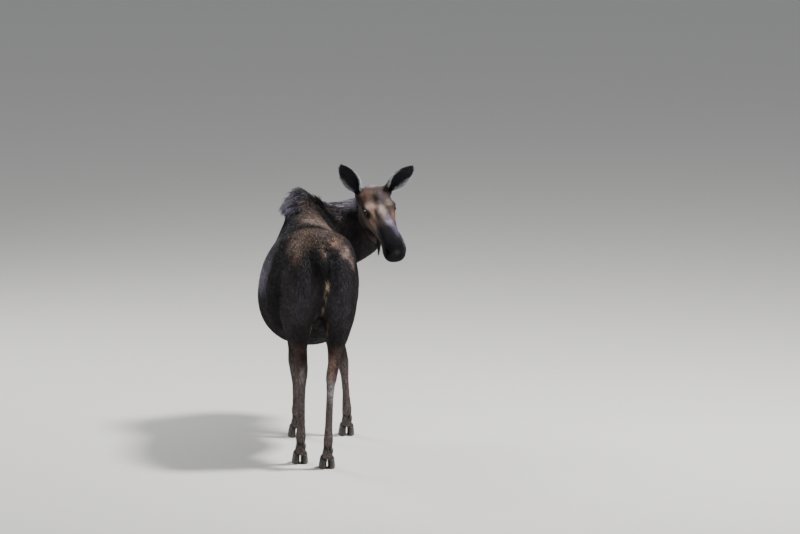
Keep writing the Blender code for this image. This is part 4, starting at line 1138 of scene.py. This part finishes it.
# A long lock's rings: how far along it they lie, and how wide they are against its width.
LONG_RINGS = ((0.0, 0.55), (0.28, 1.0), (0.54, 0.90), (0.78, 0.60))
LONG_SHADE = np.array([0.55] * 3 + [0.85] * 3 + [1.05] * 3 + [1.18] * 3 + [1.35])
LONG_CLING = 0.55            # how much a long lock follows the body rather than a straight line
LONG_LEAST = 0.08            # where the mask is less than this, no long lock grows
LONG_STRAY = 0.20            # how far single long locks turn aside, in radians
LONG_TONE = 0.52             # how much their shades differ
LONG_BEND = 0.60             # how much the rise of a long lock eases off towards its tip
LONG_ROOT = 0.002            # how far under the skin it starts
LONG_RIDGE = 0.45            # height of its ridge over its sides, against its width


def long_locks(name, surface, spots, seed):
    """Long locks that stand over the coat: closed, three-sided and bent.

    spots are rows of mask, spacing, length, width, lift and droop.
    """
    points, normals, triangles, region, tree = surface
    rng = np.random.default_rng(seed)
    mask, spacing, length, width, lift, droop = spots
    weight = mask(points - SHIFT, region)[triangles].mean(axis=1)
    triangles, weight = triangles[weight > LONG_LEAST], weight[weight > LONG_LEAST]
    corners = unwrapped(points, triangles)
    place, normal, face, patch = scatter(rng, points, normals, triangles, corners,
                                         weight / spacing ** 2)
    code = region[triangles[face, 0]]
    count = len(place)
    flow = strayed(rng, lie_of_coat(place - SHIFT, normal, code), normal, LONG_STRAY,
                   CLUMP_TURN * value_noise(place, 2 * CLUMP_SIZE, CLUMP_SEED))
    size = length * rng.uniform(0.6, 1.25, count) * (0.30 + 0.70 * weight[face])
    raised = lift * rng.uniform(0.2, 1.8, count)
    girth = width * rng.uniform(0.7, 1.3, count)
    across = unit(np.cross(normal, flow))

    def along(share):
        """Points this share of the way along the locks, and the body's way up there."""
        ahead = place + flow * (size * share)[:, None]
        settled, up = settle(tree, ahead, normal)
        middle = LONG_CLING * settled + (1 - LONG_CLING) * ahead
        height = raised * size * share * (1 - LONG_BEND * share) + 0.30 * girth * (share > 0)
        middle += unit(up + normal) * height[:, None]
        middle[:, 2] -= droop * size * share ** 2
        return middle, up

    rings = []
    for share, swell in LONG_RINGS:
        middle, up = along(share)
        middle -= up * LONG_ROOT * (share == 0)
        half = across * (girth * swell / 2)[:, None]
        ridge = up * (girth * swell * LONG_RIDGE)[:, None]
        rings.append(np.stack([middle + half, middle + ridge, middle - half], axis=1))
    corners = np.concatenate(rings + [along(1.0)[0][:, None]], axis=1)
    last = corners.shape[1] - 1
    tube = [(2, 1, 0)]
    for ring in range(0, last - 3, 3):
        for k in range(3):
            j = (k + 1) % 3
            tube += [(ring + k, ring + j, ring + 3 + j), (ring + k, ring + 3 + j, ring + 3 + k)]
    tube += [(last - 3, last - 2, last), (last - 2, last - 1, last), (last - 1, last - 3, last)]
    faces = (np.array(tube)[None] + corners.shape[1] * np.arange(count)[:, None, None])
    colour = colour_and_painted_light(place - SHIFT, normal, code)
    colours = shaded(rng, colour, np.exp(rng.normal(0.0, LONG_TONE, count)), LONG_SHADE)
    ring_patch = np.array([(-0.0014, 0.0), (0.0, 0.0003), (0.0014, 0.0)])
    rows = [ring_patch * (1 - 0.2 * k) + (0.0, -0.0014 + 0.0007 * k)
            for k in range(len(LONG_RINGS))]
    patches = (patch[:, None] + np.vstack(rows + [[(0.0, 0.0015)]])[None]).reshape(-1, 2)
    return finish_coat(name, corners.reshape(-1, 3), faces.reshape(-1, 3), colours, patches)


def mane_spots(points, region):
    """Where the mane's locks grow."""
    return ramp(mane_mask(points), 0.12, 0.55) * np.isin(region, (1, 2, 3))


def fringe_spots(points, region):
    """Where the long pale hairs grow inside the ears."""
    weight = np.zeros(len(points))
    ears = region == EAR
    share, rim, _ = round_ear(in_ears(points[ears])[0])
    weight[ears] = ramp(rim, 0.55, 0.85) * ramp(share, 0.02, 0.10) * (1 - ramp(share, 0.5, 0.8))
    return weight


# Pieces of the coat: name, regions, which side they cover (0 for both), and random seed.
COAT_PIECES = (
    ("coat_hindquarters_left", (0, 8), 1, 11),
    ("coat_hindquarters_right", (0, 8), -1, 12),
    ("coat_barrel_left", (1,), 1, 13),
    ("coat_barrel_right", (1,), -1, 14),
    ("coat_chest_left", (2,), 1, 15),
    ("coat_chest_right", (2,), -1, 16),
    ("coat_neck", (3, 9), 0, 17),
    ("coat_head_left", (4,), 1, 18),
    ("coat_head_right", (4,), -1, 21),
    ("coat_ears", (5,), 0, 20),
    ("coat_legs", (6, 7), 0, 19),
)


# Pieces with long locks: name, their spots, and random seed.
LONG_PIECES = (
    ("coat_mane", (mane_spots, 0.0064, 0.088, 0.0044, 0.56, 0.04), 31),
    ("coat_ear_fringe", (fringe_spots, 0.0046, 0.030, 0.0026, 0.22, 0.05), 32),
)


# ---------------------------------------------------------------------------------------
# The add-on

class MooseSettings(bpy.types.PropertyGroup):
    """Sizes and colours of the moose's looks."""

    coat_share: FloatProperty(
        name="Coat density", description="Share of the full number of locks",
        default=1.0, min=0.02, max=1.0, subtype="FACTOR")
    iris: FloatVectorProperty(
        name="Iris", description="Colour of the iris", default=hex_colour("#180e08"),
        size=3, subtype="COLOR", min=0.0, max=1.0)
    horn: FloatVectorProperty(
        name="Hoof", description="Colour of the hoof horn", default=hex_colour("#2a2522"),
        size=3, subtype="COLOR", min=0.0, max=1.0)
    worn_horn: FloatVectorProperty(
        name="Worn hoof", description="Colour of scuffed horn", default=hex_colour("#6b6058"),
        size=3, subtype="COLOR", min=0.0, max=1.0)
    floor: FloatVectorProperty(
        name="Floor", description="Colour of the studio floor", default=hex_colour("#dcdad6"),
        size=3, subtype="COLOR", min=0.0, max=1.0)
    hoof_passes: IntProperty(
        name="Hoof smoothing", description="How far the hooves' edges are rounded",
        default=10, min=0, max=20)


class MOOSE_OT_skin(bpy.types.Operator):
    """Draw one skin over the solids of the flesh"""

    bl_idname = "moose.skin"
    bl_label = "Skin"

    def execute(self, context):
        make_skin()
        return {"FINISHED"}


class MOOSE_OT_coat(bpy.types.Operator):
    """Cover the skin with locks of hair"""

    bl_idname = "moose.coat"
    bl_label = "Coat"

    def execute(self, context):
        surface = skin_surface()
        share = context.scene.moose.coat_share * 1.0
        for name, regions, side, seed in COAT_PIECES:
            def keep(middle, side=side, regions=regions):
                if regions == (HEAD,):
                    middle = local(middle, head_frame())[:, 1:]
                return middle[:, 0] * side >= 0
            coat = short_locks(name, surface, regions, keep, seed, share)
        for name, spots, seed in LONG_PIECES:
            mask, spacing, *rest = spots
            coat = long_locks(name, surface, (mask, spacing / math.sqrt(share), *rest), seed)
        return {"FINISHED"}


class MOOSE_OT_eyes(bpy.types.Operator):
    """Set the two eyeballs behind their lids"""

    bl_idname = "moose.eyes"
    bl_label = "Eyes"

    def execute(self, context):
        for side, mirror in SIDES:
            make_eye(side, mirror, context.scene.moose.iris)
        return {"FINISHED"}


class MOOSE_OT_hooves(bpy.types.Operator):
    """Round off the claws and dewclaws of the four feet"""

    bl_idname = "moose.hooves"
    bl_label = "Hooves"

    def execute(self, context):
        settings = context.scene.moose
        material = horn_material(settings.horn, settings.worn_horn)
        for leg in LEGS:
            make_hooves(leg, material, settings.hoof_passes)
        return {"FINISHED"}


class MOOSE_OT_stage(bpy.types.Operator):
    """Lay the floor and set up light and camera"""

    bl_idname = "moose.stage"
    bl_label = "Stage"

    def execute(self, context):
        make_stage(context.scene.moose.floor)
        return {"FINISHED"}


class MOOSE_PT_panel(bpy.types.Panel):
    """The moose's steps and settings"""

    bl_label = "Cow moose"
    bl_idname = "MOOSE_PT_panel"
    bl_space_type = "VIEW_3D"
    bl_region_type = "UI"
    bl_category = "Moose"

    def draw(self, context):
        layout = self.layout
        for key in MooseSettings.__annotations__:
            layout.prop(context.scene.moose, key)
        for operator in OPERATORS:
            layout.operator(operator.bl_idname)


OPERATORS = (MOOSE_OT_skin, MOOSE_OT_coat, MOOSE_OT_eyes, MOOSE_OT_hooves, MOOSE_OT_stage)
CLASSES = (MooseSettings, *OPERATORS, MOOSE_PT_panel)


CORNEA_EDGE = (math.radians(42), math.radians(14))     # where it starts and where it is full
CORNEA_BULGE = 0.05
IRIS_EDGE = (math.radians(46), math.radians(38))
PUPIL_HALF = (0.34, 0.20)                              # against the eyeball's radius
PUPIL_DARK = 0.92
EYE_WHITE = "#140f0c"


def make_eye(side, mirror, iris):
    """An eyeball with a bulging cornea, a brown iris and a wide pupil."""
    name = "eyeball_" + side
    centre = head_frame() @ eyeball_centre(mirror) + Vector(SHIFT)
    gaze, long_way, upright = eye_axes(mirror)
    turn = head_frame().to_3x3() @ Matrix((long_way, upright, gaze)).transposed()
    bpy.ops.object.select_all(action="DESELECT")
    bpy.ops.mesh.primitive_uv_sphere_add(segments=40, ring_count=28, radius=EYEBALL_RADIUS)
    ball = bpy.context.active_object
    ball.name = ball.data.name = name
    co = points_of(ball.data)
    way = unit(co)
    cornea = ramp(way[:, 2], *(math.cos(a) for a in CORNEA_EDGE))
    across = np.hypot(way[:, 0] / PUPIL_HALF[0], way[:, 1] / PUPIL_HALF[1])
    pupil = 1 - ramp(across, 0.85, 1.10)
    ring = ramp(way[:, 2], *(math.cos(a) for a in IRIS_EDGE))
    white = np.array(hex_colour(EYE_WHITE))
    colours = white + ring[:, None] * (np.array(iris) - white)
    colours = colours * (1 - (pupil * (way[:, 2] > 0))[:, None] * PUPIL_DARK)
    co = co * (1 + CORNEA_BULGE * cornea)[:, None]
    world = co @ np.array(turn).T + np.array(centre)
    move_to(ball.data, world)
    paint(ball.data, "colour_and_painted_light", np.column_stack([colours, np.ones(len(co))]))
    repair_winding(ball)
    ball.data.materials.append(bpy.data.materials.get("wet_eye") or eye_material())
    ball.data.shade_smooth()
    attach(ball, "root")
    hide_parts("eye_" + side)


def repair_winding(obj):
    """Turns an object's faces outwards."""
    only(obj)
    bpy.ops.object.mode_set(mode="EDIT")
    bpy.ops.mesh.select_all(action="SELECT")
    bpy.ops.mesh.normals_make_consistent(inside=False)
    bpy.ops.object.mode_set(mode="OBJECT")


HOOF_GRAIN = 0.0026
HOOF_KEPT = 0.35


def make_hooves(leg, material, passes):
    """One foot's claws and dewclaws, with rounded edges."""
    nodes = [leg + kind + side for kind in ("_claw_", "_dewclaw_") for side, _ in SIDES]
    hooves = copy_of_nodes("hooves_" + leg, nodes)
    apply_modifier(hooves, "REMESH", mode="VOXEL", voxel_size=HOOF_GRAIN)
    apply_modifier(hooves, "SMOOTH", factor=0.5, iterations=passes)
    apply_modifier(hooves, "DECIMATE", ratio=HOOF_KEPT)
    co = points_of(hooves.data)
    co[:, 2] = np.maximum(co[:, 2], 0.0)
    move_to(hooves.data, co)
    hooves.data.materials.append(material)
    hooves.data.shade_smooth()
    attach(hooves, "root")
    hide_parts(*nodes)


# ---------------------------------------------------------------------------------------
# Stage

CAMERA_AZIMUTH = math.radians(173)
CAMERA_ELEVATION = math.radians(9)
CAMERA_DISTANCE = 45.7
CAMERA_LENS = 300.0
AIM_ANCHOR = Vector((0.0, -0.29, 1.64))      # top of the croup, in model coordinates
AIM_RIGHT = 0.5550                           # how far the view's centre lies beside it
AIM_DOWN = 0.2639                            # and below it
FLOOR_SIZE = 400.0
SENSOR_WIDTH = 36.0
FARTHEST_SEEN = 1000.0
LIT_HEIGHT = 1.0                             # the height the lights point at
SKY_COLOUR = "#dfe2e6"
SKY_STRENGTH = 0.42
# Lights: name, how far to the view's right, towards the camera and up, width and power.
LIGHTS = (
    ("key", 4.2, 0.8, 7.0, 1.2, 1350.0),
    ("fill", -6.0, 6.0, 2.5, 5.0, 80.0),
    ("rim", -4.5, -4.0, 5.0, 3.0, 320.0),
)


def make_stage(colour):
    """A pale floor, soft studio light and the camera."""
    bpy.ops.object.select_all(action="DESELECT")
    bpy.ops.mesh.primitive_plane_add(size=FLOOR_SIZE)
    floor = bpy.context.active_object
    floor.name = "studio_floor"
    floor.data.materials.append(floor_material(colour))
    a, e = CAMERA_AZIMUTH, CAMERA_ELEVATION
    back = Vector((math.sin(a) * math.cos(e), -math.cos(a) * math.cos(e), math.sin(e)))
    right = Vector((0, 0, 1)).cross(back).normalized()
    up = back.cross(right)
    aim = AIM_ANCHOR + Vector(SHIFT) + right * AIM_RIGHT - up * AIM_DOWN
    camera = bpy.data.cameras.new("camera")
    camera.lens = CAMERA_LENS
    camera.sensor_width = SENSOR_WIDTH
    camera.clip_end = FARTHEST_SEEN
    holder = bpy.data.objects.new("camera", camera)
    bpy.context.collection.objects.link(holder)
    holder.location = aim + back * CAMERA_DISTANCE
    holder.rotation_euler = (-back).to_track_quat("-Z", "Y").to_euler()
    bpy.context.scene.camera = holder
    for name, aside, nearer, higher, size, power in LIGHTS:
        offset = right * aside + back * nearer + Vector((0, 0, higher))
        lamp = bpy.data.lights.new(name, "AREA")
        lamp.size = size
        lamp.energy = power
        place = bpy.data.objects.new(name, lamp)
        bpy.context.collection.objects.link(place)
        place.location = Vector((0, 0, LIT_HEIGHT)) + offset
        place.rotation_euler = (-offset).to_track_quat("-Z", "Y").to_euler()
    world = bpy.data.worlds.new("studio")
    world.use_nodes = True
    sky = world.node_tree.nodes["Background"]
    sky.inputs["Color"].default_value = (*hex_colour(SKY_COLOUR), 1.0)
    sky.inputs["Strength"].default_value = SKY_STRENGTH
    bpy.context.scene.world = world


def register():
    """Registers the add-on's classes and its settings."""
    for cls in CLASSES:
        bpy.utils.register_class(cls)
    bpy.types.Scene.moose = PointerProperty(type=MooseSettings)


def unregister():
    """Removes what register added."""
    del bpy.types.Scene.moose
    for cls in reversed(CLASSES):
        bpy.utils.unregister_class(cls)


def main():
    """Makes every piece in order."""
    register()
    bpy.ops.moose.skin()
    bpy.ops.moose.coat()
    bpy.ops.moose.eyes()
    bpy.ops.moose.hooves()
    bpy.ops.moose.stage()


if __name__ == "__main__":
    main()
